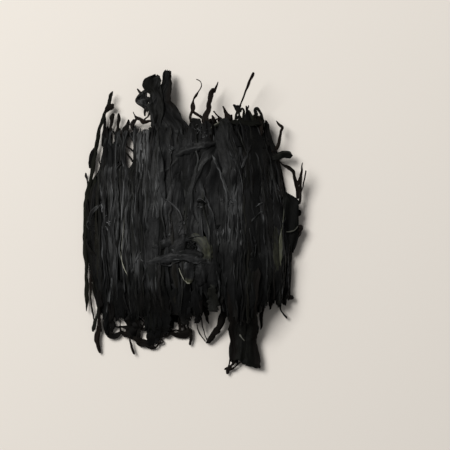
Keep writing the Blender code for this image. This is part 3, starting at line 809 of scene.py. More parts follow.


# Broad leaves of the middle: lightness, greenness, and x, y and width along them. The first ones have fainter painted
# highlights on their crests.
MIDDLE_LEAVES = (
    (0.3, 0, -71, -60, 3, -71, -76, 8, -71, -88, 7, -70, -96, 4),
    (0.22, 0, -60, -56, 3, -60, -72, 11, -60, -82, 11, -60, -88, 9),
    (0.24, 0, -51, -58, 3, -51, -76, 12, -51, -86, 10, -51, -96, 6),
    (0.26, 0, -42, -58, 3, -42, -76, 10, -42, -87, 6),
    (0.22, 0, -23, -60, 3, -23, -80, 11, -23, -94, 10, -23, -101, 5),
    (0.24, 0, -14, -58, 3, -14, -74, 9, -14, -85, 7),
    (0.24, 0, -34, -56, 3, -33, -74, 12, -32, -92, 15, -33, -110, 8),
    (0.2, 0, -5, -54, 3, -5, -70, 12, -5, -84, 11, -6, -93, 7),
    (0.2, 0, 4, -56, 3, 4, -72, 10, 5, -86, 7, 5, -92, 5),
    (0.34, 0, 50, 44, 5, 50, 24, 16, 49, 6, 17, 50, -14, 16, 49, -34, 5),
    (0.34, 0, 62, 38, 5, 62, 12, 15, 62, -8, 16, 63, -28, 14, 62, -46, 4),
    (0.3, 0, 60, 74, 8, 59, 58, 15, 58, 40, 13, 58, 26, 4),
    (0.3, 0, 58, -30, 3, 59, -48, 12, 60, -66, 12, 59, -80, 4),
    (0.3, 0, 70, -16, 3, 70, -36, 11, 71, -56, 11, 70, -74, 4),
    (0.3, 0, 67, 68, 3, 68, 50, 10, 70, 30, 10, 71, 10, 3),
    (1.1, 0, -38, 72, 8, -41, 66, 11, -42, 52, 10, -42, 40, 6, -41, 26, 2),
    (0.35, 0, -33, 36, 3, -32, 16, 10, -32, -6, 12, -34, -36, 11, -35, -64, 4),
    (0.35, 0, -47, 24, 3, -47, 6, 8, -46, -16, 10, -46, -40, 8, -44, -66, 3),
    (0.34, 0, -18, 78, 16, -18, 68, 28, -16, 50, 27, -18, 30, 17, -20, 8, 4),
    (0.4, 0, -29, 66, 3, -29, 44, 12, -28, 16, 14, -27, -8, 13, -28, -34, 3),
    (0.32, 0, 4, 82, 10, 2, 62, 20, 0, 44, 21, 2, 26, 15, 3, 8, 3),
    (0.32, 0, 13, 80, 4, 14, 66, 13, 13, 54, 14, 14, 42, 4),
    (0.38, 0, -12, 34, 4, -14, 12, 17, -14, -10, 20, -12, -30, 15, -10, -52, 4),
    (0.38, 0, 22, 58, 4, 14, 44, 15, 7, 28, 17, 3, 10, 16, 2, -8, 13, 4, -28, 3),
    (0.36, 0, 24, 62, 3, 24, 42, 15, 22, 22, 22, 21, 0, 22, 19, -18, 15, 18, -36, 3),
    (0.42, 0, 28, 82, 8, 31, 60, 24, 35, 42, 24, 37, 24, 20, 36, 4, 17, 35, -20, 13, 35, -44, 3),
    (0.3, 0, 34, 6, 4, 34, -16, 17, 34, -38, 18, 36, -60, 16, 38, -86, 8),
    (0.28, 0, 18, -36, 5, 17, -46, 17, 15, -57, 15, 16.5, -65, 9, 17.5, -72, 4),
    (0.42, 0.06, 18, -58, 4, 18, -67, 9, 18.6, -76, 9.5, 18.5, -82, 7),
    (0.28, 0, -33, -50, 3, -30, -62, 10, -31, -76, 11, -33, -92, 8),
    (0.32, 0.28, 73.5, 14, 3, 74, 2, 6, 72.6, -14, 9, 72, -32, 9, 72, -52, 3),
    (0.24, 0, 53, 83, 14, 54, 68, 21, 56, 50, 19, 56, 34, 14, 54, 18, 4),
    (0.3, 0, 54, -30, 3, 54, -48, 13, 53, -66, 14, 52, -84, 5),
    (0.5, 0, 74, -52, 6, 77, -62, 13, 78, -72, 9),
    (0.32, 0, 70, 44, 3, 72, 22, 11, 73, 0, 12, 74, -22, 4),
)
FAINTLY_LIT_LEAVES = 15


def middle_leaves(rng, heap, kind):
    for k, (light, olive, *rows) in enumerate(MIDDLE_LEAVES):
        lay_leaf(kind, heap, rng, rows, (some_tone(rng, light, 0.12)[0], olive, 0), 68, 0.8, 0.12, 0.5, 1.5,
                 0.3 if k < FAINTLY_LIT_LEAVES else 0.45, 0.45, over=0, lifted=0.5, proud=2.2, wavy=0.9, thick=0.8,
                 grain=0.8)


# Light strips and folds that lie on top: width, lightness, and x and y along them
LINES = (
    (1.1, 0.95, -55, 36, -57, 27, -57.9, 15, -57.2, 4, -58.7, -10, -60.4, -21, -61, -33, -59, -39),
    (2.1, 0.68, -48.6, 23, -52.2, 10, -55, -2, -52.2, -19, -53.6, -32, -53, -46),
    (2.7, 0.77, -29, 37, -27.8, 26, -30, 15, -27.8, 2, -29, -6),
    (2, 0.59, -69, 36, -67, 19, -68, 2, -69, -13, -67, -27, -69, -46, -70, -62),
    (1.1, 0.68, -77.4, 28, -76, 15, -78, 6),
    (2.2, 2.2, -79.3, 6.4, -81.6, 4.7, -84.5, 1.1, -86.3, -3.7, -87.5, -8.3, -86.5, -14),
    (1.7, 0.59, -63.6, 22, -61.5, 4, -62.2, -10, -63, -30),
    (1.3, 0.85, -46.4, 19, -49.3, 4, -48.2, -10, -45, -28, -48, -42),
    (2.2, 0.68, -36.4, 43, -33.5, 22, -36.4, -2, -35, -20),
    (1.4, 0.85, -22, 22, -25, 16, -17.5, 10, -9, 2, -7.7, -9, -12, -18),
    (1.3, 0.77, -19, -2, -17, -13, -19, -19),
    (2.8, 0.95, 17.6, 50, 20.5, 44.5, 23.5, 38.3, 27, 29, 29.5, 19.7, 32.8, 9),
    (2.8, 0.6, 17, 48.4, 11.5, 43.7, 6.2, 34.4, 2.2, 24, 1.2, 16, 0.7, 4, 4.6, -6),
    (1.3, 0.68, 8, 30, 11, 18, 15, 8, 19, -2, 20, -12),
    (1.2, 0.68, 33, 71, 37, 58, 40.5, 47, 42, 38),
    (1.3, 0.59, 28, 56, 34, 48, 39.5, 42),
    (1.4, 0.59, 50, 60, 46, 50, 42, 40),
    (1.1, 0.66, 30, 24, 30, 8, 29, -8, 30, -24),
    (1.1, 0.66, 34, 25, 34, 10, 35, -8, 34, -26),
    (1.2, 0.72, 38.5, 25, 38, 8, 39, -10, 38, -30),
    (1.1, 0.66, 42, 38, 42.3, 18, 42, -4, 42.5, -14),
    (1.1, 0.59, 7.5, 76, 8.5, 70, 8, 62),
    (1.7, 0.68, 52, -17, 54, -27, 53, -37),
    (2.8, 1.5, -69, -52, -69.5, -63, -70.5, -78, -72, -90),
    (1.6, 0.85, -50.8, -50.7, -46, -39, -41, -29.7),
    (1.4, 0.68, -42, -36, -38, -46, -41, -58),
    (1.3, 0.59, -36, -58, -34, -72, -36, -84),
    (1.6, 0.51, -58, -60, -55, -76, -50, -90),
    (2, 0.68, 21, -46, 24, -60, 22, -74),
    (1.7, 0.68, 30, -52, 29, -68, 31, -82),
)
# Laid last: the same, over the strips at the right, a near-black strip painted as the shade of a small hollow in the
# middle, and pale spots at the left
LATE_LINES = (
    (1.9, 1.05, 49, 57.2, 47.2, 51.8, 44.5, 44.6, 41.6, 37.9),
    (1.4, 0.75, 30.9, 64.3, 33.8, 54.3, 37.3, 45.9, 40.5, 37.5, 42.3, 25.8, 42.6, 12.4),
    # A near-black strip painted as the shade in a small hollow
    (3.4, 0.02, 4.9, 10.7, 7.4, 11, 10, 10.3, 12.1, 9),
    (0.9, 0.8, 4.4, 12.7, 7.4, 13.5, 10.5, 12, 12.8, 9.3),
    (1.1, 0.75, 4.8, 6.8, 7.4, 6.2, 10.3, 6.7),
    (2.4, 1.5, -42.5, 61, -42.2, 57.3, -41.8, 54.3),
    (2, 1.4, -41.2, 52.9, -40.8, 49.2, -40.7, 46.7),
    (0.9, 1, 36.3, 39.5, 36.9, 37, 37.6, 34.5),
    (1.7, 1, 49.4, -6.6, 52.7, -2.7, 56.9, 1.5, 59.9, 2.3),
    (1.9, 0.75, 59.4, 2.3, 60.3, -6.1, 60.3, -17.8, 61.4, -27),
    (2.2, 0.7, 48.5, -9.9, 49.9, -16.1, 51, -23.7, 51.4, -31.2),
    (2.8, 0.8, 51.2, -30.4, 51, -34.6, 50.9, -38.8),
    (1.2, 0.9, 53.5, 6.5, 56.9, 9, 59.9, 10.2),
    (1.3, 1.1, 70.3, 28.3, 72, 24.1, 73.7, 19.9),
    (0.9, 0.8, 77, 17.4, 77.7, 9, 78.4, 0.6, 77, -5.2, 75, -9.4),
    (2.8, 1.3, -76.9, 9.1, -81.1, 5.3, -84, 0.7, -85.5, -5.2, -85, -10.3),
    (1.2, 1.2, -75.9, 10, -75, 5.8, -75.7, 1.5),
    (0.9, 2, -71.6, -6.1, -69.3, -7.2, -67.9, -9.4),
    (0.8, 1.8, -73, -9.4, -70.8, -11.1, -70, -13.7),
    (0.9, 2, -68.4, -5.2, -67.6, -8.1),
    (0.7, 1.6, -73.5, -3.5, -72.2, -1.5, -70.5, -0.2),
    (1.7, 0.85, 22.5, -12.8, 22.9, -18.7, 23.4, -26.2),
    (1.4, 0.95, 27.2, -11.1, 27.1, -17.8, 27.9, -23.7),
    (1.9, 0.85, 32.1, -10.3, 32.4, -17.8, 31.9, -26.2),
    (1.3, 1, 37.6, -9.4, 38.1, -16.1, 37.6, -22.8),
    (1.5, 0.8, 41.5, -12, 41.8, -19.5, 41.5, -27),
    (2.2, 0.02, 20.5, -10.8, 22.5, -9.3, 25, -8.4),
)
# The fold near the top: x, y and width along it
FOLD = (-15, 49.5, 3, -9, 51.4, 6, -3, 53.6, 7.5, 3, 55.6, 7.5, 9, 57.4, 7, 15, 58.8, 5.5, 22, 60.5, 3)
# Groups of tiny crumbled bits: x, y, spread and count
BITS = (
    (-17.5, 56, 4, 16), (8, 71, 7, 16), (33, 11, 5, 10), (-7, -7, 4, 8), (31, -77, 0.8, 3), (50.5, -60, 1.4, 4),
    (-80, -12, 8, 14),
)


def body_lines(rng, heap, kind):
    lay_leaf(kind, heap, rng, FOLD, (0.44, 0, 0), 80, 0.4, 0.5, 1.9, 1, 0.6, 0.5, 0.5)
    lay_lines(kind, heap, rng, LINES)
    for x, y, spread, count in BITS:
        for _ in range(count):
            x1, y1, turn = rng.gauss(x, spread / 2), rng.gauss(y, spread / 2), rng.uniform(0, math.tau)
            points = [
                (x1 + 1.1 * k * math.cos(turn + 0.5 * k), y1 + 1.1 * k * math.sin(turn + 0.5 * k)) for k in range(3)
            ]
            lay_line(kind, heap, rng, points, rng.uniform(0.5, 0.9), rng.uniform(0.7, 1.2), 12, 0.6)


def end_tips(rng, kind):
    """Torn and cut ends at every height of both end faces, but for the loose corner."""
    for end, count, edge, root in ((1, 150, TOP_END, CORE_ENDS[1]), (-1, 170, BOTTOM_END, CORE_ENDS[0])):
        for k in range(count):
            share = 0.08 + 0.88 * (k + rng.random()) / count
            x = x_at(share, end * 80 * MM)
            if end > 0 and x < CORNER_TIPS_X:
                continue
            reach = float(outline(edge, x)) + end * rng.uniform(-12, 1.5) * MM
            height = rng.uniform(0.05, 0.93)
            y = np.linspace(root - end * 16 * MM, reach, 4)
            z = skin(np.full(4, share), y)[0][:, 2] * height
            z = z + np.array((0, 0, 0.4, 1)) * rng.uniform(-3, 3) * MM
            xs = x + np.array((0, 0.2, 0.6, 1)) * rng.uniform(-2, 2) * MM
            points = np.stack([xs, y, np.maximum(z, 1.2 * MM)], axis=1) / MM
            free_strip(kind, rng, points, rng.uniform(1.6, 4.4), rng.uniform(0.8, 1.4),
                       (rng.uniform(0.03, 0.2), 0, rng.uniform(0, 0.2)), 11, twist=1.0, sides=6, lead=0.3)


def corner_stacks(rng, kind):
    """Strips at every height of the loose top left corner, between the gaps that light shows through."""
    for x in (-74, -72, -70.5, -67.5, -64.5, -62.5, -60, -57, -48.5, -46, -43.5):
        for level in (0.25, 0.7):
            top = float(outline(TOP_END, x * MM)) + rng.uniform(-10, 0) * MM
            y = np.linspace(rng.uniform(-4, 16) * MM, top, 7)
            xs = x * MM + drift(rng, 7, 1.5, 0.6 * MM)
            point = skin(dodged(share_at(xs, y), y, np.full(7, 2.4 * MM)), y)[0]
            point[:, 2] *= level
            free_strip(kind, rng, point / MM, rng.uniform(1.8, 2.8), 1.1, (rng.uniform(0.1, 0.3), 0, 0), 30, twist=0.5,
                       sides=6, wobble=0.2)


# Loose strips: thickness, brownness or, below zero, greenness, the heights of root and tip, and x, y and width of the
# points along them
LOOSE = (
    (1.8, -0.1, 4, 7, -86.5, 24.8, 2.6, -86.1, 31.7, 3.1, -85.4, 37.7, 3.4, -84.4, 43.7, 4, -83.3, 48.8, 3.6, -82.6,
     53.9, 3.8, -82.1, 58.2, 4, -80.9, 65.1, 3.4, -79.7, 71, 2.9, -78.2, 77, 2.8, -76.2, 82.1, 2.8, -74.7, 86.4, 3.1,
     -73.1, 90.7, 3.1, -71.3, 94.9, 3.6, -69.7, 99.2, 3.4, -69.3, 102.6, 3.4, -67.7, 105.6, 1.4),
    (1.6, 0.45, 7, 7, -74.2, 88.1, 2.6, -72.1, 90.6, 4.3, -69.5, 92.3, 5.2, -67.6, 93.7, 4.3, -66.3, 94.4, 2.1),
    (1.6, 0.1, 5, 4, -82.1, 57.4, 2.6, -83.8, 54.4, 3.1, -85.4, 50.5, 3.8, -86.6, 47.1, 3.4, -87.4, 43.7, 2.6, -87.5,
     40.3, 1.4),
    (1.2, 0.4, 4, 3.6, -91, 36, 1.4, -90.6, 33.4, 2.1, -89.9, 30, 1.2, -89.4, 24.8, 1.2, -89.9, 18, 2.2, -90.8, 11.1,
     2.9),
    (1.8, -0.14, 4, 4, -87.3, 31.7, 2.1, -88.7, 23.1, 3.8, -90.3, 12.8, 4.6, -91.1, 0.8, 4.8, -91.4, -12.9, 4.8, -91.3,
     -26.6, 4.5, -90.9, -40.3, 4, -90.6, -52.3, 3.8, -90.6, -64.3, 4, -90.3, -72.9, 3.4, -90.5, -82.3, 1),
    (1.4, -0.12, 5, 5, -82.1, 33.4, 1.7, -83.8, 21.4, 3.8, -85.5, 9.4, 4.6, -86.4, -2.6, 3.8, -86.4, -16.3, 2.9),
    (1, 0.5, 4, 3, -86.1, -40.3, 2.6, -86.5, -54, 2.2, -86.9, -64.3, 1.5, -86.4, -72.9, 1.5, -85.5, -81.5, 1.4, -83.8,
     -90.5, 1),
    (1.3, 0.15, 1.8, 6, -76.8, 59.2, 2.6, -75.8, 67.8, 2.9, -74.8, 74.6, 2.2, -74.4, 80.5, 2.4, -74.7, 86.4, 1.7),
    (1.6, 0.35, 1.8, 6, -71.2, 59.2, 3.4, -70.7, 67.8, 3.8, -69.9, 74.6, 3.3, -69.1, 80.5, 3.6, -68.1, 84.3, 4.3, -67,
     87.1, 2.2),
    (1.6, 0.4, 1.8, 6, -64.7, 59.2, 4.3, -64.8, 66.1, 4.3, -63.9, 72.9, 3.4, -63, 78, 2.6, -62.4, 82.6, 2.8, -62.5,
     86.8, 1.9),
    (1.6, 0.3, 1.8, 6, -58.7, 59.2, 4.3, -58.3, 66.1, 6, -56.8, 72, 6, -55, 76.2, 4, -54, 81.3, 1.5),
    (1.5, 0.3, 2, 7, -47.2, 61, 3.4, -48.3, 67.7, 4.3, -49.9, 73.7, 4.3, -50.7, 77.9, 4, -49.4, 81.6, 1.7),
    (1.3, 0.3, 1.8, 6, -72.9, 59.2, 3.4, -72.8, 66, 4, -73.1, 72, 3.6, -72.6, 75.6, 1.7),
    (1, 0.3, 6, 6, -57.5, 60.2, 1.2, -54.6, 58.3, 1.5, -51.7, 56.1, 1.5, -48.6, 53.5, 1.4),
    (1, 0.3, 6, 6, -56.3, 53.2, 1.2, -53.8, 50.3, 1.5, -51.2, 47.2, 1.5, -48.8, 43.8, 1.4),
    (1.4, 0.75, 12, 9, -32.1, 79.7, 2.6, -35.9, 80.2, 2.4, -39, 79.4, 3.6, -41.5, 79.4, 4.3, -44.1, 81.5, 2.9, -46.7,
     82.6, 3.3, -48.4, 84.8, 1.5, -49.8, 87.9, 0.8),
    (1.2, 0.4, 10, 8, -46.7, 82.4, 2.1, -48.4, 79.9, 1.9, -50.2, 76.8, 1.7, -51.4, 73.8, 1.4),
    (1, 0.7, 12, 10, -41.5, 80.4, 1.4, -39.3, 82.3, 1.2, -37.8, 83.5, 1, -36.6, 85.6, 1.4, -35.9, 87.8, 1.7),
    (1.3, 0.7, 15, 13, 0.2, 73.9, 1.7, -0.5, 77.3, 1.5, -1, 80.2, 1.5, -1.2, 83.2, 2.2, -0.2, 86, 2.1, 1.2, 88.4, 2.9,
     1.5, 91.8, 4, 1.3, 94.8, 2.6, 1.5, 97.7, 1.3, 2.5, 100, 1.9, 3.7, 101.7, 2.1, 5.6, 104.6, 1.1, 7.3, 107.1, 1, 8.4,
     109.7, 1, 8, 112.3, 0.9, 6.6, 114.3, 0.9, 4, 115.7, 0.9),
    (1.3, 0.7, 16, 14, 12.3, 77.2, 2.6, 10, 80.6, 2.4, 8.3, 82.9, 2.1, 5.8, 84.8, 1.9, 3.6, 86.3, 2.4, 1.5, 87.5, 2.1),
    (1.8, 0.6, 17, 14, 12.3, 70.3, 6.9, 12.3, 75.4, 6.9, 12.3, 81.4, 6.9, 13.5, 86.5, 5.7, 14.5, 90.8, 4.5, 15.1, 95.1,
     4, 15.6, 98.8, 4.1, 16.8, 102.8, 4.3, 18.2, 105.9, 3.8, 18.5, 107.6, 2.6),
    (1.2, 0.6, 14, 13, 18.5, 104.5, 2.6, 19.6, 106.8, 1.9, 20.7, 109.2, 1.6, 21.8, 111.4, 1.1, 22.3, 113.3, 0.7),
    (1.4, 0.5, 17, 17, 18.9, 75.4, 2.6, 18.9, 78.8, 2.9, 18.6, 81.9, 3.3, 17.4, 84.4, 1.7),
    (1.4, 0.5, 16, 16, 8.4, 73.8, 3.4, 7.5, 77.2, 2.6, 6.7, 79.7, 1.7),
    (1.1, 0.7, 17, 17, 28.4, 78.8, 1.7, 25.3, 81.4, 1.5, 22.8, 83.4, 1.2, 20.4, 85.8, 1.3, 18.7, 88, 1.5),
    (0.9, 0.6, 17, 17, 22.8, 78.8, 1, 23, 83.1, 0.9),
    (1.4, 0.55, 18, 17.5, 30.9, 77.1, 6, 30.4, 81.3, 5.2, 29.4, 84.7, 4, 28.2, 87.6, 2.8, 27.3, 90, 2.1, 26.5, 92.2,
     1.5),
    (1.2, 0.5, 18, 18, 32.5, 77.1, 2.6, 32.5, 82.1, 1.9, 32.1, 85.9, 1),
    (1.2, 0.4, 18, 18, 34.3, 76.2, 2.6, 34.2, 81.3, 1.7, 33.8, 85.2, 1.2),
    (1.3, -0.06, 18, 18.5, 36.9, 75.4, 2.6, 37.2, 80.4, 1.9, 38.2, 84.7, 1.7, 39.1, 87.7, 2.1, 38.1, 90.6, 2.6, 36.5,
     92.8, 2.1, 35.9, 93.6, 1.4),
    (1.3, -0.06, 18, 19, 40.1, 75.4, 2.6, 40.1, 82.1, 2.2, 40.3, 87.2, 2.2, 40.4, 90.6, 2.4, 41.5, 93.4, 1.5),
    (1.1, 0, 18.5, 18.5, 36.9, 92.3, 2.1, 38.9, 91.9, 2.8, 40.8, 91.9, 1.9),
    (1.1, 0, 18.5, 18.5, 37.7, 83, 1.7, 39.1, 82.4, 2.6, 40.3, 82.6, 1.7),
    (1.2, -0.06, 18, 18, 40.8, 87.2, 1.7, 42.3, 89.8, 1.7, 43.7, 90.1, 1.9, 44.5, 88.1, 1.9, 44.2, 83.8, 2.1, 44, 77.1,
     2.9),
    (1.4, 0.6, 16, 26, 41, 89.1, 1.4, 41.5, 93.2, 1.1, 43.2, 98.2, 1.2, 45, 102.8, 1.4, 46.7, 107.3, 1.7, 48.7, 111.9,
     2.1, 50.5, 115.8, 2.1, 52.2, 119.8, 2.1),
    (1.4, 0.05, 18, 18, 47.6, 77.1, 6.9, 47.4, 82.1, 5.7, 47.1, 86, 3.8, 46.9, 88.6, 2.9, 46.7, 91, 2.2, 46.2, 92.3,
     1.2),
    (1, 0.05, 18, 18.5, 47.2, 89.3, 1.7, 48.1, 91.1, 1.4, 48.6, 93.1, 0.8),
    (1.4, -0.1, 18, 17, 54.7, 77.1, 3.4, 52.7, 80.8, 3.1, 50.8, 83.5, 2.6, 49.3, 86.4, 2.1, 48.3, 88.7, 1.4),
    (1.5, -0.05, 17, 17, 56.4, 75.4, 3.4, 55.9, 80.5, 2.9, 54.9, 84.8, 2.9, 54.2, 88.2, 2.6, 54.9, 90.2, 2.4, 56.6,
     89.5, 2.6, 58.3, 87.3, 2.2, 59.6, 83.9, 2.1, 60.7, 79.7, 2.1, 61.5, 74.6, 2.6),
    (1.6, 0.1, 14, 13, 70.9, 53.5, 2.6, 69.2, 57.8, 2.2, 67.5, 62.4, 2.6, 65.8, 67.1, 3.1, 64.8, 72.3, 2.9, 64.3, 76.5,
     2.9, 63, 80.6, 1.4),
    (1.5, 0.1, 15, 14, 65.5, 58.6, 2.6, 63.3, 65.4, 2.9, 62.3, 72.2, 2.9, 62.1, 78.2, 2.1),
    (1.7, 0.7, 13, 10, 68.4, 53.6, 2.1, 70.6, 55.3, 2.2, 72.5, 57.3, 2.4, 73.9, 60.4, 3.1, 74.8, 63.8, 3.3, 75.5, 67.6,
     2.6, 76, 71.2, 2.6, 77, 73.8, 2.9, 76.2, 75.7, 2.9, 74.3, 77.4, 2.2, 72.1, 80.3, 1),
    (2.2, -0.04, 14, 10, 65, 48, 4.3, 69.3, 48.8, 5.2, 72.7, 49.7, 5.8, 76.1, 50.7, 6.4, 79.6, 51.2, 6, 83, 51.3, 5.5,
     85.6, 50.8, 3.8),
    (1.7, 0.4, 12, 10, 72.7, 46.8, 1.4, 76.1, 43.9, 1.2, 79.2, 41.9, 2.4, 82.1, 39.8, 3.4, 85.2, 38.1, 3.8, 86.9, 35.4,
     2.9, 87.8, 31.5, 2.9, 89, 26.7, 3.8, 90, 21.3, 4.3, 90.4, 14.4, 4.3),
    (1.5, 0.5, 10, 14, 91.9, 9.3, 2.6, 92.5, 16.1, 2.4, 92.9, 21.2, 2.2, 92.8, 26.3, 2.2, 92.8, 31.4, 2.4, 93.3, 35.7,
     2, 93.8, 39.9, 1.5, 94.6, 44.5, 0.9),
    (1.2, 0.5, 10, 12, 89.8, 23.8, 2.6, 91.2, 28.1, 2.1, 92.5, 32.3, 1.7),
    (1.2, 0.6, 11, 13.5, 93.2, 17, 0.9, 94.5, 23.8, 0.9, 95.5, 28.9, 1, 96.3, 33.1, 1.1, 97, 37.7, 1.3),
    (2, 0.4, 10, 10, 90.2, -13.7, 2.6, 92.1, -12.9, 3.4, 93.1, -11, 4, 91.9, -8.9, 2.2),
    (1.5, 0.3, 9, 9, 92.1, -11.2, 3.4, 92.1, -15.1, 2.9, 91.1, -18.8, 2.1),
    (1.3, 0.3, 9, 9, 90.4, 3.7, 1.7, 92.3, 2, 2.6, 91.3, -0.6, 1.7),
    (1.8, 0.3, 7, 6, 78.9, -67.6, 4.3, 82.3, -69.7, 4.3, 84.9, -70.6, 3.8, 86.8, -71.1, 2.6),
    (1.4, 0.5, 6, 4, 75.1, -74.5, 2.1, 75.8, -79.7, 1.9, 77.4, -83.1, 1.9, 79.3, -86.1, 2.1, 81.2, -88.5, 2.2),
    (1.5, 0.5, 9, 6, 67.2, -65.8, 4.3, 67.4, -72.7, 3.6, 67.3, -77, 2.8, 66.9, -80.8, 1),
    (1.4, 0.3, 9, 6, 73.7, -65.8, 3.4, 74.2, -72.7, 2.9, 74.6, -77.9, 2.1),
    (1.4, 0.3, 9, 7, 78.8, -67.5, 3.4, 78.8, -72.7, 3.4, 79.4, -76.5, 2.2),
    (1.6, 0.3, 11, 6, 60.3, -65.7, 3.4, 60, -74.3, 3.8, 59.5, -82, 3.6, 59.5, -88.1, 3.4, 59.5, -93.3, 2.6, 59.2, -98,
     1),
    (1.3, 0.2, 10, 6, 62, -69.2, 2.6, 61.4, -76.1, 2.6, 60.6, -83.1, 1.7),
    (1.9, 0.25, 12, 3.4, 26.7, -72.5, 5.2, 27, -81.1, 5.5, 25.8, -87.1, 5.8, 24.1, -93.2, 5.8, 21.6, -98, 5.2, 18.6,
     -101.5, 4.8, 16.8, -104.9, 4.3, 14.5, -108, 4, 12.3, -109.6, 2.1),
    (1.4, 0.3, 5, 4, 24.1, -99.9, 2.6, 20.7, -101.1, 2.9, 18.6, -104.3, 2.6, 17.6, -107.5, 1.4),
    (1, 0.6, 8, 3.4, 4, -86.4, 1, 4.3, -91.6, 0.9, 4.9, -96.8, 1, 6.5, -101.4, 1, 8.7, -104.9, 0.9, 11.6, -108.3, 1),
    (1, 0.6, 8, 3.6, 8.1, -85.5, 1.2, 8.7, -91.6, 1, 9.7, -97.6, 0.9, 11.3, -102.9, 0.9, 13, -107.6, 1),
    (1.6, 0.3, 11, 6, 7.6, -64, 3.4, 8.4, -70, 3.6, 9.6, -76.1, 3.8, 11.1, -81.2, 3.6, 12.5, -86.4, 2.9, 13.5, -89.9,
     2.1, 14.4, -93.3, 0.9),
    (1.3, 0.3, 10, 7, 7.9, -76.9, 2.6, 8.4, -82.1, 2.2, 8.2, -86.4, 1.2),
    (1.4, -0.1, 6, 4, -79.5, -71.1, 2.6, -79.8, -78, 2.1, -80.4, -84, 2.4, -82, -90, 2.6, -83.5, -95.5, 3.3, -84.8,
     -100, 2.1),
    (1.3, 0.4, 6, 4, -78.9, -79.7, 1.9, -79, -86.5, 1.9, -78.5, -92.6, 1.9, -77.9, -100, 1.5),
    (1.2, 0.5, 5, 4, -79.5, -83.1, 2.1, -79.8, -90, 1.7, -80, -96.9, 2.2),
    (1.7, 0.65, 4.4, 3, -79.9, -94.3, 1.7, -80.5, -99.5, 2.9, -81.5, -103.8, 4.1, -81.9, -107.2, 4.3, -81, -110.7, 3.8,
     -80.2, -114.1, 3.3, -79, -118.3, 1.9),
    (1.8, 0.15, 8, 7, -74.2, -59, 3.4, -77.1, -63.3, 6, -78.7, -68.5, 6.4, -78.8, -73.6, 5.5, -77.7, -78.7, 3.4),
    (1.6, 0, 8, 5, -70.2, -60.7, 2.9, -69.9, -69.3, 3.1, -69.8, -77, 3.4, -71, -83.9, 4.3, -72.8, -89.9, 4.6, -73.7,
     -95.9, 4.3, -73, -102, 3.4),
    (1.4, 0.5, 5, 3.4, -53.5, -103.7, 1.5, -52.7, -108.9, 1.7, -51.7, -113.2, 2, -50.5, -116.3, 2.1, -49.3, -119.1,
     1.7),
    (1.3, 0.5, 5, 3.4, 38.5, -122.5, 2.6, 36.5, -126, 2.2, 34.2, -128.9, 2.2, 32.2, -131.5, 2.9, 30.8, -134.1, 3.4,
     30.5, -136.4, 2.1),
    (1.1, 0.5, 5, 4, 33, -122.5, 1.7, 32.2, -126.5, 1.3, 31.1, -130.7, 1.3),
    (1.2, 0.6, 4, 4, 28.1, -132.4, 1.4, 30.5, -131.9, 2.4, 33, -132.1, 2.9, 36.1, -131.7, 1.2),
    (1, 0.5, 4.4, 3.4, 41.3, -126, 1.7, 37.8, -129.2, 1.2, 34.1, -133, 1.4),
)
# The edge at the top right: x, y and z, and the widths
RIM = (15.6, 71.5, 24.4, 21.7, 75.6, 23.6, 27.6, 77.4, 23.2, 36.8, 78, 23, 46.9, 78, 22, 56.2, 77.4, 19.6, 62, 75.8,
       16.4)
RIM_WIDTHS = (1.4, 2.2, 3.4, 5, 5.6, 4.6, 2)


def loose_strips(rng, kind):
    free_strip(kind, rng, RIM, RIM_WIDTHS, 1, (0.07, 0.05, 0), 60, twist=0.35, wobble=0.9, lean=0.1)
    traced(kind, rng, LOOSE)
    for _ in range(34):
        x = rng.uniform(-6, 64)
        y = float(outline(TOP_END, x * MM)) / MM
        z = rng.uniform(8, 19)
        lean, reach = rng.uniform(-0.6, 0.6), rng.uniform(1, 3.5)
        points = (
            (x - 4 * lean, y - 14, z), (x, y - 2, z), (x + lean * reach * 0.6, y + reach * 0.6, z + rng.uniform(-1, 2)),
            (x + lean * reach + rng.uniform(-2, 2), y + reach, z + rng.uniform(-2, 3)),
        )
        free_strip(kind, rng, points, rng.uniform(1.6, 3.6), 1.1, (rng.uniform(0.05, 0.2), 0, 0.5), 16)
    for _ in range(20):
        side = rng.choice((-1, 1, 1, 1))
        y = rng.uniform(-66, 44)
        edge = float(outline(LEFT_EDGE if side < 0 else RIGHT_EDGE, y * MM)) / MM
        z = rng.uniform(3, 12)
        run = rng.uniform(8, 22)
        points = (
            (edge - side * 9, y - run, z), (edge - side * 3, y - run / 2, z), (edge - side * 0.5, y, z - 1),
            (edge + side * rng.uniform(-1.0, 1.0 if side > 0 else 0), y + run / 3, z - 1),
        )
        free_strip(kind, rng, points, rng.uniform(1.2, 3.0), 1.0, (rng.uniform(0.05, 0.3), 0, 0.15), 16)


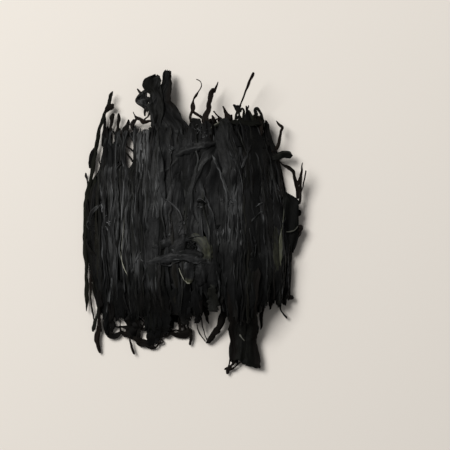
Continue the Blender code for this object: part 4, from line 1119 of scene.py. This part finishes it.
# The border of the lower left edge, with holes that light shows through, in the form of LOOSE
BORDER = (
    (1.6, 0.2, 3.7, 2.9, -74.2, -90.1, 3.4, -73.8, -96.1, 4.3, -71.9, -101.2, 4.6, -69, -104.2, 4.5, -66, -104.2, 4,
     -62.9, -102.3, 3.4, -60.5, -100.7, 3.4, -57.7, -101.8, 3.8, -54.8, -103, 4.3),
    (1.6, 0.3, 3.1, 2.9, -57.4, -100.7, 4.3, -54.3, -102.6, 4.8, -51, -104.7, 4.3, -48, -106.8, 4.6, -44.5, -108.5, 5.7,
     -41.1, -109.5, 6, -37.7, -111.1, 5.2, -34.6, -112.8, 3.1, -32.2, -113.8, 1.5),
    (1.2, 0.4, 2.7, 2.5, -38.5, -112.8, 1.4, -35.1, -114.2, 1.4, -31.7, -114.2, 1.7, -29.5, -112.5, 1.4, -28.4, -109,
     1),
    (1.1, 0.2, 4.4, 3.6, -70.5, -94, 2.2, -67.6, -95.5, 1.5, -64.2, -95.9, 1.4, -60.8, -95.9, 1.9, -57.4, -96.6, 2.9,
     -53.9, -97.6, 4),
    (1.3, 0.2, 5, 3.7, -61.7, -90, 0.9, -61.6, -93.4, 0.9, -61.4, -97.8, 1.7, -61, -101.7, 2.1),
    (1.2, 0.2, 4.3, 3.1, -70.7, -97.2, 2.1, -68.7, -99.3, 1.2, -67.7, -101.7, 1.5, -66.8, -103.8, 1.7),
    (1.5, 0.1, 5.6, 3.1, -52.9, -88.2, 10.3, -52.5, -92.6, 7.7, -51.8, -96.9, 12, -51, -101.2, 10.3, -50, -105.5, 6),
    (1.4, 0.15, 5, 3.1, -45.8, -88.3, 3.4, -45.8, -94.3, 3.8, -46.5, -99.5, 3.8, -46.2, -103.8, 3.4, -44.5, -108.1,
     3.4),
    (1.7, 0.08, 5.6, 2.9, -32.4, -81.4, 13.8, -31.6, -88.3, 13.8, -31.6, -95.2, 13.4, -32.5, -101.2, 12, -34.4, -106.9,
     9.5, -35.8, -112.1, 5.2),
    (1.5, 0.1, 6.8, 3.1, -23.8, -83, 7.7, -23, -89.9, 7.7, -23.5, -96, 6.9, -24.8, -100.3, 4.3, -25.7, -103.5, 1.7),
    (1, 0.3, 5, 4.3, -37.4, -88.8, 1.4, -40.7, -92.9, 1.2, -44.1, -97.4, 1.7),
    (1, 0.3, 5, 4.3, -43.6, -88.3, 1.4, -41.4, -92.2, 1, -38.6, -96.4, 1.9),
    (1.3, 0.2, 4.3, 3.7, -44.5, -96.9, 2.6, -41.9, -98.1, 2.6, -38.5, -98.1, 2.6),
    (1.5, 0.3, 3.1, 3.1, -27.4, -105.5, 1.2, -25.3, -104.3, 1.2, -23.1, -104, 2.1, -20.8, -103.8, 2.4, -19.1, -102.3,
     1.9, -16.7, -101.3, 3.4, -13.6, -102.5, 4.6, -10.2, -102.5, 5.7, -6.4, -101.9, 6.9, -2.8, -101.6, 7.2, -0.3,
     -101.8, 4.8),
    (1.5, 0.35, 3.1, 2.5, -2.8, -97.8, 4.3, -1.6, -103, 4, -1.3, -107.3, 2.8, -1.5, -111.6, 2.1),
    (1.3, 0.4, 5, 3.1, -18.7, -86.6, 4.3, -18.6, -91.7, 2.6, -18.8, -96.9, 2.1, -17.9, -100.4, 2.2),
    (1.3, 0.4, 5, 3.1, -10.5, -84.8, 3.4, -10.3, -90.9, 2.2, -10, -96.1, 2.6, -9.7, -100.1, 2.6),
    (1.2, 0.4, 5, 3.1, -6.4, -84.8, 3.4, -6.6, -90, 1.9, -6.1, -95.2, 1.5, -5.1, -99.5, 1.9),
    (1.2, 0.4, 5, 3.1, -3.6, -84.8, 2.6, -3.7, -90, 2.2, -3, -95.2, 1.9, -2.3, -99.5, 2.1),
    (1, 0.4, 4.3, 3.7, -17, -99.5, 1.7, -14, -99, 1.4, -10.7, -99.2, 1.4),
    (1, 0.4, 4.3, 3.7, -9.7, -96.9, 1.4, -7.6, -95.2, 1.2, -6.2, -93, 1),
    (0.9, 0.5, 2.9, 2.7, -31.2, -111.2, 1, -29.3, -108, 0.9, -26.9, -106.3, 0.9, -25, -107.8, 0.9, -25.3, -109.9, 0.9,
     -27.4, -109.5, 0.9),
    (0.9, 0.5, 2.9, 2.7, -30.8, -106.9, 1, -28.6, -108.7, 0.9, -26, -110.2, 1, -24.3, -108.5, 0.9),
    (0.9, 0.5, 2.9, 2.7, -28.2, -103.8, 1, -27, -106.8, 0.9, -27.4, -109.9, 0.9, -29.4, -112.1, 0.9),
)


def edge_loops(rng, kind):
    """The border of the lower left edge: crumpled pieces over holes, and the strands that run into it."""
    traced(kind, rng, BORDER, 0.05, 0.18, 1.3)
    for x in (-70.5, -68, -50, -48, -35.5, -33, -31, -29, -26, -24, -21.5, -20):
        reach = -96 if x > -44 else -93
        heights = ((-74, 10), (-84, 7), (-90, 5.4), (reach, 4.2), (reach - 7, 3.6))
        points = [(x + rng.uniform(-1, 1), y, z) for y, z in heights]
        free_strip(kind, rng, points, rng.uniform(3, 5), 1.4, (rng.uniform(0.05, 0.25), 0, 0.15), 26, twist=0.4)


# Leaves in the open: y, left x, right x and z from root to tip
TOP_LEAF_RIGHT = (52.8, -26.3, -1, 28.5, 61.3, -28.4, 0.3, 27, 68.2, -29.3, 0.1, 24.6, 72.5, -30.2, -0.7, 23, 76, -31.7,
    -2.4, 21.4, 79.5, -32.9, -5.8, 20, 83, -34.3, -8.4, 18.6, 86.4, -35.6, -9.8, 17.6, 89.9, -36.6, -11, 17, 93.3, -37,
    -14.1, 16, 96.8, -35.3, -17.1, 15.4, 100.2, -33.7, -17.5, 14.8, 103.7, -32, -17.2, 14, 107.2, -29.5, -17.1, 13.2,
    110.7, -26.2, -17, 12.4, 114.1, -25.2, -17.1, 11.8, 117.6, -25, -17.1, 11.2, 120.7, -24.4, -17.2, 10.6, 123.3, -23,
    -17.4, 10)
TOP_LEAF_LEFT = (73.3, -33.5, -26.8, 21, 76, -34.1, -26.3, 20.8, 80.3, -34.8, -24.9, 20.2, 84.6, -35.1, -23.8, 19.4, 88,
    -36.4, -23, 18.6, 91.5, -37.8, -22.8, 17.8, 94.9, -35.6, -23, 17, 98.4, -35, -23.6, 16, 101.9, -35.3, -23.9, 15.4,
    104.5, -38.4, -24.7, 14.8, 107.1, -40.7, -25.4, 14.2, 109.7, -41.9, -25.9, 13.6, 112.3, -42.1, -26.1, 13, 114.6,
    -41.1, -26.1, 12.6, 116.6, -38.9, -26.5, 12.2, 118.2, -35.5, -27.2, 11.8, 119.3, -31.6, -28.7, 11.4)
LOBE_LEAF = (106.4, -39.8, -37.4, 13.6, 102.9, -43.1, -37.8, 13.4, 100.3, -46, -38.2, 13.2, 97.8, -47.9, -37.4, 13,
    95.2, -46.8, -38.2, 13.2, 92.7, -43.1, -37.6, 13.4, 90.1, -40.1, -36.3, 13.6, 87.6, -37.5, -34.6, 13.8)
TUFT_LEFT = (-36, 36, 41, 26, -44, 33, 45.5, 30.6, -51.4, 30.6, 46.9, 31.6, -63.2, 30.4, 46.5, 30.8, -73.3, 30.6, 46.4,
    29, -81.1, 30.9, 46.1, 26.4, -87.2, 31.4, 46.2, 22, -91.7, 32, 46.2, 18, -97.1, 31.3, 46.3, 14, -102.4, 31.8, 46.3,
    11, -107.6, 33, 46.7, 9.4, -114.6, 33.7, 47.2, 8.4, -120.6, 33.7, 47.6, 7.4, -124.6, 32.7, 48.1, 6.8)
TUFT_RIGHT = (-36, 49, 53, 25, -44, 44, 57, 29.6, -51.4, 41.8, 57.8, 31, -63.2, 41.5, 56.5, 30.2, -73.4, 41.4, 55.7,
    28.4, -81.1, 41.4, 55.5, 25.6, -87.3, 41.4, 55.8, 21.4, -92.6, 41.5, 56.6, 17, -98, 41.7, 57.3, 13.4, -103.3, 41.9,
    56.4, 10.6, -108.5, 42.1, 55.9, 9, -115.4, 42.6, 57.1, 8, -122.4, 42.9, 58.2, 7, -127.6, 44.3, 58.7, 6.4, -130.5,
    50.7, 58.9, 6)
RIGHT_LEAF = (19.9, 78.8, 80.4, 12, 17.8, 78.7, 83.4, 12, 15.3, 78.5, 87.7, 12, 12.2, 78.3, 90.9, 12, 7.6, 78.5, 91.8,
    11.8, 0.8, 79.2, 91.5, 11.4, -6, 79.9, 91.2, 11, -12, 80.4, 91.4, 10.4, -16.3, 81, 91.7, 10, -21.4, 81.7, 90.9, 9.4,
    -26.2, 82.7, 89.2, 9, -30, 84.4, 87.9, 8.6, -32, 85.5, 87, 8.4)
# The edge of the crumpled lobe at the top leaf's left, with two holes, in the form of LOOSE
TOP_LOBE = (
    (1.4, 0.3, 13, 12, -39.2, 106.7, 2.2, -41.4, 104.6, 2.9, -44, 102.4, 3.4, -45.9, 99.9, 4, -46.9, 97.2, 4, -45, 95.2,
     4.3, -42.1, 93.5, 4.3, -39.1, 91.6, 4.3, -36.4, 89.9, 3.4),
    (1.4, 0.1, 14, 13, -41.4, 103.2, 4.3, -40.9, 99.8, 5.5, -40.7, 96.6, 5.7, -39.4, 93.7, 4.3),
    (1.3, 0.1, 14, 14, -40, 98.1, 2.9, -37.3, 98.1, 4, -34.2, 98.1, 4.3),
    (1.3, 0.2, 14, 14, -40.2, 104.5, 2.9, -38, 104.9, 2.6, -35.4, 104.2, 2.6),
    (1.3, 0.1, 14, 14, -38.8, 104.9, 1.7, -38.5, 101.7, 1.5, -38.1, 98.6, 2.1, -38.1, 94.8, 1.7, -37.6, 91.8, 2.6),
    (1.3, 0.1, 14, 15, -41, 93, 3.4, -37.6, 91.4, 4, -34.2, 90.9, 4.3),
    (1.1, 0.6, 13, 12, -41.9, 101.7, 2.2, -44, 104.5, 1.7, -46.2, 107.5, 1.2),
    (1.2, 0.4, 15, 12, -37.4, 92, 3.4, -39, 89.6, 2.6, -39.8, 86.8, 1.9, -39.8, 84.3, 1.4),
)


def top_leaf(rng, kind):
    """The long leaf at the top end in two lobes, brown at the right, and the small crumpled lobe at its left."""
    def patch(rows, columns, along, across):
        along, across = smoothstep(*along, np.linspace(0, 1, rows)), smoothstep(*across, np.linspace(0, 1, columns))
        return along[:, None, None] * across[:, None]

    tones = (0.28, 0, 0.02) + patch(70, 30, (0.3, 0.6), (0.6, 0.9)) * (-0.22, 0, 0.25)
    free_leaf(kind, rng, TOP_LEAF_RIGHT, 1.1, tones, 30, 70, 0.9, 0.45, 0.9, 12)
    tones = (0.27, 0.02, 0.02) + patch(56, 24, (0.52, 0.64), (0.7, 0.45)) * (-0.28, 0, 0)
    free_leaf(kind, rng, TOP_LEAF_LEFT, 1.1, tones, 24, 56, 0.8, 0.5, 0.9, 12)
    free_leaf(kind, rng, LOBE_LEAF, 0.8, (0.36, 0.02, 0.12), 14, 36, 1.2, 0.6, 1.2, 5)
    traced(kind, rng, TOP_LOBE, 0.2, 0.4)


def lower_tuft(rng, kind):
    """Two wide strips side by side, brown where they leave each other, their frayed end, and a small pale strip painted
    bright as a glint.
    """
    for rows, out in ((TUFT_LEFT, np.linspace(1, -0.5, 24)), (TUFT_RIGHT, np.linspace(-0.5, 1, 24))):
        tones = (0.29, 0.03, 0.01) + smoothstep(0.2, 0.8, out)[:, None] * (-0.2, -0.03, 0.22)
        free_leaf(kind, rng, rows, 1.3, tones, 24, 90, 0.8, 0.6, 0.7)
    for k in range(8):
        x = 33 + 22 * (k + rng.random()) / 8
        points = [(x + rng.uniform(-1, 1), y, z) for y, z in ((-88, 16), (-98, 11), (-108, 7), (-118, 6), (-124, 5))]
        points.append((x + rng.uniform(-1, 2), -127 - rng.uniform(-2, 3), 4.6))
        free_strip(kind, rng, points, rng.uniform(2.0, 5.0), 1.1, (rng.uniform(0.1, 0.25), 0, 0.1), 40, twist=0.3)
    # A small pale strip painted bright as a glint
    glint_strip = (41, -102, 12.4, 42.5, -105, 11.6, 44.6, -107.6, 11)
    free_strip(kind, rng, glint_strip, 1.5, 0.8, (2.4, 0, -0.2), 14, twist=0.2)


def right_leaf(rng, kind):
    edge = (80.7, -14.6, 12.2, 83.8, -14.1, 12.8, 87.2, -13.2, 12.8, 89.4, -10.8, 12.8, 90.6, -9.4, 12.6)
    free_strip(kind, rng, edge, 0.9, 0.6, (0.6, 0.1, -0.06), wobble=0.1)
    free_leaf(kind, rng, RIGHT_LEAF, 1.2, (0.03, 0.01, 0), 20, 50, 0.7, 0.5, 0.6)


def swirl(rng, heap, kind):
    """The folded leaf in the middle: flaps at its left, a fold along its foot, a leaf with an olive right side that
    curls round a hollow painted dark as its shade, and a tongue with a pale tip."""
    def olive(along, side):
        green = smoothstep(0.2, 0.4, along) * (1 - smoothstep(0.74, 0.92, along)) * smoothstep(1.2, 0, side)
        return (0.36, 0, 0) + green[..., None] * (0.3, 0.45, 0)

    def pale_tip(along, side):
        tip = smoothstep(0.78, 0.95, along)
        rim = np.maximum(0.5 * tip, smoothstep(0.8, 0.97, side) * smoothstep(0.25, 0.4, along))
        return (0.5, 0, 0) + tip[..., None] * (0, 0.7, 0) + rim[..., None] * (0, 0, -0.05)

    def leaf(tone, rows, *options):
        lay_leaf(kind, heap, rng, rows, tone, *options)

    def lines(*table):
        lay_lines(kind, heap, rng, table, thick=0.7)

    leaf((0.42, 0, 0), (8.3, -40, 4, 8.3, -48.8, 12, 7.4, -56.4, 9, 7, -61, 3))
    # A near-black leaf painted as the shade of the small hollow that the thin strips after it cross
    leaf((0.1, 0, 0), (0.2, -21, 4, 0.4, -24.5, 7.5, 0.4, -28.5, 7.5, 0.2, -32.5, 4), 30)
    lines((0.8, 0.3, -3, -23, 0, -26, 3, -29), (0.7, 0.3, 3.4, -22.6, 0, -25.4, -3.4, -28.6),
          (0.8, 0.35, -1.5, -21.5, 1, -24.5, 4.4, -27), (0.7, 0.3, -3.6, -25.6, -1, -28, 2, -30.4))
    leaf((0.44, 0, 0), (-34, -28, 3, -29, -26.4, 7, -23.6, -24.5, 9, -17.7, -22.2, 8, -12, -20, 4), 50, 0.3, 0.2, 2.2)
    leaf((0.36, 0, 0), (-15.2, -36, 4, -12.7, -29.6, 10, -9.3, -23.7, 10, -6, -18.7, 6, -4, -16, 2))
    leaf(olive, (-9, -24, 3, -5, -21, 5, -0.5, -19.5, 6.5, 4.9, -19.5, 8, 9.3, -22.4, 9.8, 12.1, -27.9, 11.7, 12.9,
                 -33.7, 10.9, 12.5, -39.6, 8.4, 10.5, -44.5, 3), 90, 0.3, 0.6)
    leaf((0.42, 0.01, 0), (-12, -32, 4, -5, -32.6, 8, 2, -32.8, 8.5, 7.5, -33.5, 6, 11, -34, 3), 50, 0.3, 0.2, 2)
    leaf(pale_tip, (-2.8, -37.6, 5, -2, -44.6, 9, -1.8, -50.5, 9, -2.2, -57.4, 5), 60, 0.2, 0.3, 0.8, 0.5)
    leaf((0.5, 0, 0), (-40, -42, 3, -33, -39.6, 6, -26.1, -38, 8, -17.7, -36.8, 9, -9, -36.4, 8.5, 0, -37, 7.5, 8,
                       -38.6, 6, 14, -41, 3), 110, 0.4, 0.7, 1.9)
    # Near-black strips painted as the shade in the hollow under the curled leaf and beside the tongue
    lines((1.6, 0.02, -13.5, -40.6, -9, -38.6, -5, -38.4, -1.5, -40.4),
          (1.4, 0.02, -8.6, -47.6, -8, -51, -5.6, -54.6), (1.3, 0.02, -11, -41, -9.6, -45, -8, -48.6),
          (1.1, 0.6, -32, -40, -19, -43, -12.6, -39.8, -9, -39),
          (1.2, 0.55, -1, -39.8, 5.8, -40.4, 12.5, -37.6, 16.7, -43), (0.9, 0.8, -19, -35, -12, -34.4, -6, -34.6),
          (0.8, 0.8, -18, -37.6, -12, -37.4, -8, -37.4), (1.0, 0.6, -3.4, -19.6, 1, -19, 5, -18.2, 9, -18.6),
          (1.2, 0.7, -16.6, -28.6, -15, -30, -14, -31.4))


# Creases of the leaves in the middle: width, height, and x and y along them
CREASES = (
    (2.2, 1.5, 17.6, 50, 23.5, 38.3, 27, 29, 29.5, 19.7, 32.8, 9),
    (3.4, 1.3, 17, 48.4, 11.5, 43.7, 6.2, 34.4, 2.2, 24, 0.7, 4),
    (1.6, 1.3, 7, 29, 10, 18, 14, 8, 19, -6, 21, -18),
    (1.6, 1.1, 44, 63, 41, 52, 38, 42, 36, 30),
    (1.6, 1.1, 29, 74, 33, 60, 38, 46),
    (2.4, 1.3, -8, 56, 4, 61, 16, 60, 22, 62),
    (1.8, 0.9, -10, 53, 4, 56, 14, 56),
    (2, 1.2, -12, 46, -20, 38, -28, 36),
    (1.8, 1.2, -26, 58, -28, 44, -27, 30, -29, 14),
    (1.8, 1, -20, 30, -22, 12, -20, -8, -23, -26),
    (1.8, 1, -10, 22, -12, 6, -9, -8, -6, -22),
    (1.5, 1, 1, 14, 2, 0, 0, -12, 4, -22),
    (1.5, 1, 15, 20, 8, 14, 4, 6, 6, -4, 12, -8),
    (1.6, 0.9, 24, 16, 26, 2, 25, -12, 28, -26),
    (1.8, 1.2, 36, 10, 35, -6, 36, -22, 34, -40),
    (1.6, 1.1, 41, 12, 40, -8, 41, -26, 40, -46),
    (1.6, 1.1, 31, 8, 29, -10, 31, -24, 28, -38),
    (1.8, 1, 34, -44, 36, -60, 35, -76),
    (1.6, 0.9, 10, -48, 12, -62, 11, -76),
    (1.6, 1, -46, 70, -44, 56, -46, 40),
    (1.6, 1, 58, 62, 60, 44, 58, 28),
)
CREASE_ROWS = crease_rows()

# Light thin edges: two at the left, pale and painted light as the sheen along a strand's edge, a greenish one at the
# top, an olive patch at the right and two in the middle: width, tone, and x and y along them
PALE_AND_SHEEN_THREADS = (
    (0.8, 1.0, 0, -0.14, -56.7, 0, -57.2, -14.5, -58.8, -26.3, -59.9, -32.2),
    (0.8, 0.9, 0.1, -0.5, -59.9, -31, -58.4, -39, -56.3, -46.5, -53.4, -51.6),
    (1.4, 0.9, 0.3, -0.1, 16.4, 73, 20, 76, 24.5, 78),
    (1.0, 0.9, 0.5, -0.03, 76, 8, 76.4, -3, 75, -14, 74, -26),
    (2.8, 1.0, 0.75, -0.02, 74.6, -12, 74, -22, 73.6, -32, 73.8, -43),
    (1.1, 0.9, 0.6, -0.4, -5, -55, -3, -57.4, -0.8, -57.2),
    (0.8, 0.9, 0.2, -0.4, -10.2, -44.4, -8.2, -50, -5.2, -56),
)


def pale_and_sheen_threads(rng, heap, kind):
    count = 36
    for width, light, olive, brown, *points in PALE_AND_SHEEN_THREADS:
        rows = spline(points, 2, count) * MM
        share = share_at(rows[:, 0], rows[:, 1])
        widths = width * MM * (0.9 + drift(rng, count, 3, 0.2)) * tip_taper(count, 0.2, 0.2, 0.25)
        lift = laid(heap, share, rows[:, 1], widths, 0.6 * MM, 2 * MM, 0.0, 4 * MM)
        path, ups = place(share, rows[:, 1], lift + 0.35 * MM)
        sweep(kind, rng, path, unit(ups + (0, 0, 0.8)), widths, 0.6 * MM, drift(rng, count, 4, 0.4), np.zeros(count), 7,
              (light, olive, brown))


# ---------------------------------------------------------------- material

# The colours of the dried wakame, from its dark to its light places, and where it turns green, olive, brown or pale
DARK = (0.0012, 0.0013, 0.0013, 1)
LIGHT = (0.083, 0.085, 0.087, 1)
GREENISH = (0.004, 0.0043, 0.0032, 1)
OLIVE = (0.062, 0.064, 0.036, 1)
BROWN = (0.016, 0.0095, 0.006, 1)
PALE = (0.5, 0.5, 0.4, 1)


def dried_seaweed():
    """Near-black, half matt, finely wrinkled along each strip. strip_tone's x lightens it, y turns it olive, and z
    turns it brown above zero and pale below."""
    material = bpy.data.materials.new("dried_wakame")
    material.use_nodes = True
    nodes, links = material.node_tree.nodes, material.node_tree.links

    def fill(node, inputs):
        for name, value in inputs.items():
            if isinstance(value, bpy.types.NodeSocket):
                links.new(value, node.inputs[name])
            else:
                node.inputs[name].default_value = value

    def made(kind, inputs, **settings):
        node = nodes.new("ShaderNode" + kind)
        for name, value in settings.items():
            setattr(node, name, value)
        fill(node, inputs)
        return node.outputs

    def attribute(name):
        return made("Attribute", {}, attribute_name=name)["Vector"]

    def maths(operation, *values):
        return made("Math", dict(enumerate(values)), operation=operation)[0]

    def ranged(*values):
        return made("MapRange", dict(enumerate(values)))[0]

    def mixed(share, a, b):
        return made("Mix", {"Factor": share, "A": a, "B": b}, data_type="RGBA")["Result"]

    coords = attribute("strip_coords")
    light, olive, brown = made("SeparateXYZ", {0: attribute("strip_tone")})

    def noise(scale, detail, roughness):
        at = made("Mapping", {"Scale": scale, "Vector": coords})["Vector"]
        return made("TexNoise", {"Scale": 1, "Detail": detail, "Roughness": roughness, "Vector": at})["Fac"]

    wrinkles = noise((1.5, 0.13, 1.0), 5, 0.62)
    streaks = noise((0.42, 0.06, 0.5), 3, 0.6)
    folds = noise((0.6, 0.05, 0.5), 3, 0.55)
    patches = noise((0.22, 0.05, 0.3), 2, 0.5)
    specks = noise((2.2, 1.6, 1.0), 3, 0.7)

    grain = maths("MULTIPLY", ranged(wrinkles, 0.35, 0.68, 0.75, 1.2), ranged(streaks, 0.34, 0.66, 0.72, 1.3))
    colour = mixed(maths("POWER", maths("MULTIPLY", grain, light), 1.6), DARK, LIGHT)
    colour = mixed(ranged(patches, 0.5, 0.75, 0, 0.35), colour, GREENISH)
    colour = mixed(maths("MULTIPLY", ranged(wrinkles, 0.35, 0.65, 0.3, 1.2), olive), colour, OLIVE)
    colour = mixed(ranged(brown, 0, 1, 0, 0.6), colour, BROWN)
    colour = mixed(ranged(brown, 0, -1, 0, 1), colour, PALE)
    roughness = maths("ADD", ranged(specks, 0.3, 0.7, 0.34, 0.54), ranged(light, 0.03, 0.3, 0.3, 0))
    height = maths("MULTIPLY_ADD", folds, 2.4, maths("MULTIPLY_ADD", specks, 0.25, wrinkles))
    normal = made("Bump", {"Strength": 0.7, "Distance": 0.45 * MM, "Height": height})["Normal"]
    fill(nodes["Principled BSDF"], {"Base Color": colour, "Roughness": roughness, "Specular IOR Level": 0.08,
                                    "Metallic": 0, "Normal": normal})
    return material


# ---------------------------------------------------------------- scene

# The floor: how far it reaches and how low it lies
FLOOR_REACH = 3.0
FLOOR_Z = -0.2 * MM
# The camera looks straight down. The middle of its frame, how wide the frame is on the floor, and the sensor's width
VIEW_MIDDLE = (28.4 * MM, -8.6 * MM)
VIEW_WIDTH = 387 * MM
CAMERA_HEIGHT = 1.3
SENSOR_WIDTH = 36


def stage():
    mesh = bpy.data.meshes.new("floor")
    corners = [(x * FLOOR_REACH, y * FLOOR_REACH, FLOOR_Z) for x, y in ((-1, -1), (1, -1), (1, 1), (-1, 1))]
    mesh.from_pydata(corners, [], [(0, 1, 2, 3)])
    floor = linked("floor", mesh)
    material = bpy.data.materials.new("floor")
    material.use_nodes = True
    shader = material.node_tree.nodes["Principled BSDF"]
    shader.inputs["Base Color"].default_value = (0.80, 0.755, 0.70, 1)
    shader.inputs["Roughness"].default_value = 0.9
    shader.inputs["Specular IOR Level"].default_value = 0.1
    mesh.materials.append(material)


def lights():
    world = bpy.data.worlds.new("world")
    bpy.context.scene.world = world
    world.use_nodes = True
    background = world.node_tree.nodes["Background"]
    background.inputs["Color"].default_value = (1.0, 0.99, 0.98, 1)
    background.inputs["Strength"].default_value = 0.16
    key = bpy.data.lights.new("key", "AREA")
    key.shape = "RECTANGLE"
    key.size, key.size_y = 1.6, 1.6
    key.energy = 121
    key.color = (1.0, 0.99, 0.97)
    lamp = linked("key", key)
    lamp.location = (-1.55, 1.4, 2.5)
    lamp.rotation_euler = (-Vector(lamp.location)).to_track_quat("-Z", "Y").to_euler()


def camera():
    data = bpy.data.cameras.new("camera")
    data.sensor_width = SENSOR_WIDTH
    data.lens = SENSOR_WIDTH * CAMERA_HEIGHT / VIEW_WIDTH
    data.clip_start, data.clip_end = 0.05, 20
    thing = linked("camera", data)
    thing.location = (*VIEW_MIDDLE, CAMERA_HEIGHT)
    bpy.context.scene.camera = thing


PIECES = (
    "under_strips", "left_strands", "middle_strands", "right_strands", "body_leaves", "fine_strands", "end_tips",
    "corner_strips", "loose_strips", "edge_loops", "top_leaf", "lower_tuft", "right_leaf", "swirl_leaf", "body_lines",
    "pale_and_sheen_edges",
)


def main():
    settings = bpy.context.scene.view_settings
    settings.view_transform = "Standard"
    settings.look = "None"
    rng = random.Random(SEED)
    heap = Heap(rng)
    flow = flowing(rng)
    kinds = {name: Kind(name) for name in PIECES}
    core = core_mass(rng)
    underside(rng, kinds["under_strips"])
    body(rng, heap, flow, kinds)
    swirl(rng, heap, kinds["swirl_leaf"])
    body_lines(rng, heap, kinds["body_lines"])
    pale_and_sheen_threads(rng, heap, kinds["pale_and_sheen_edges"])
    end_tips(rng, kinds["end_tips"])
    corner_stacks(rng, kinds["corner_strips"])
    loose_strips(rng, kinds["loose_strips"])
    edge_loops(rng, kinds["edge_loops"])
    top_leaf(rng, kinds["top_leaf"])
    lower_tuft(rng, kinds["lower_tuft"])
    right_leaf(rng, kinds["right_leaf"])
    lay_lines(kinds["body_lines"], heap, rng, LATE_LINES, count=30)
    material = dried_seaweed()
    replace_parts(core.finish(material), NODE)
    for kind in kinds.values():
        kind.finish(material)
    stage()
    lights()
    camera()


main()
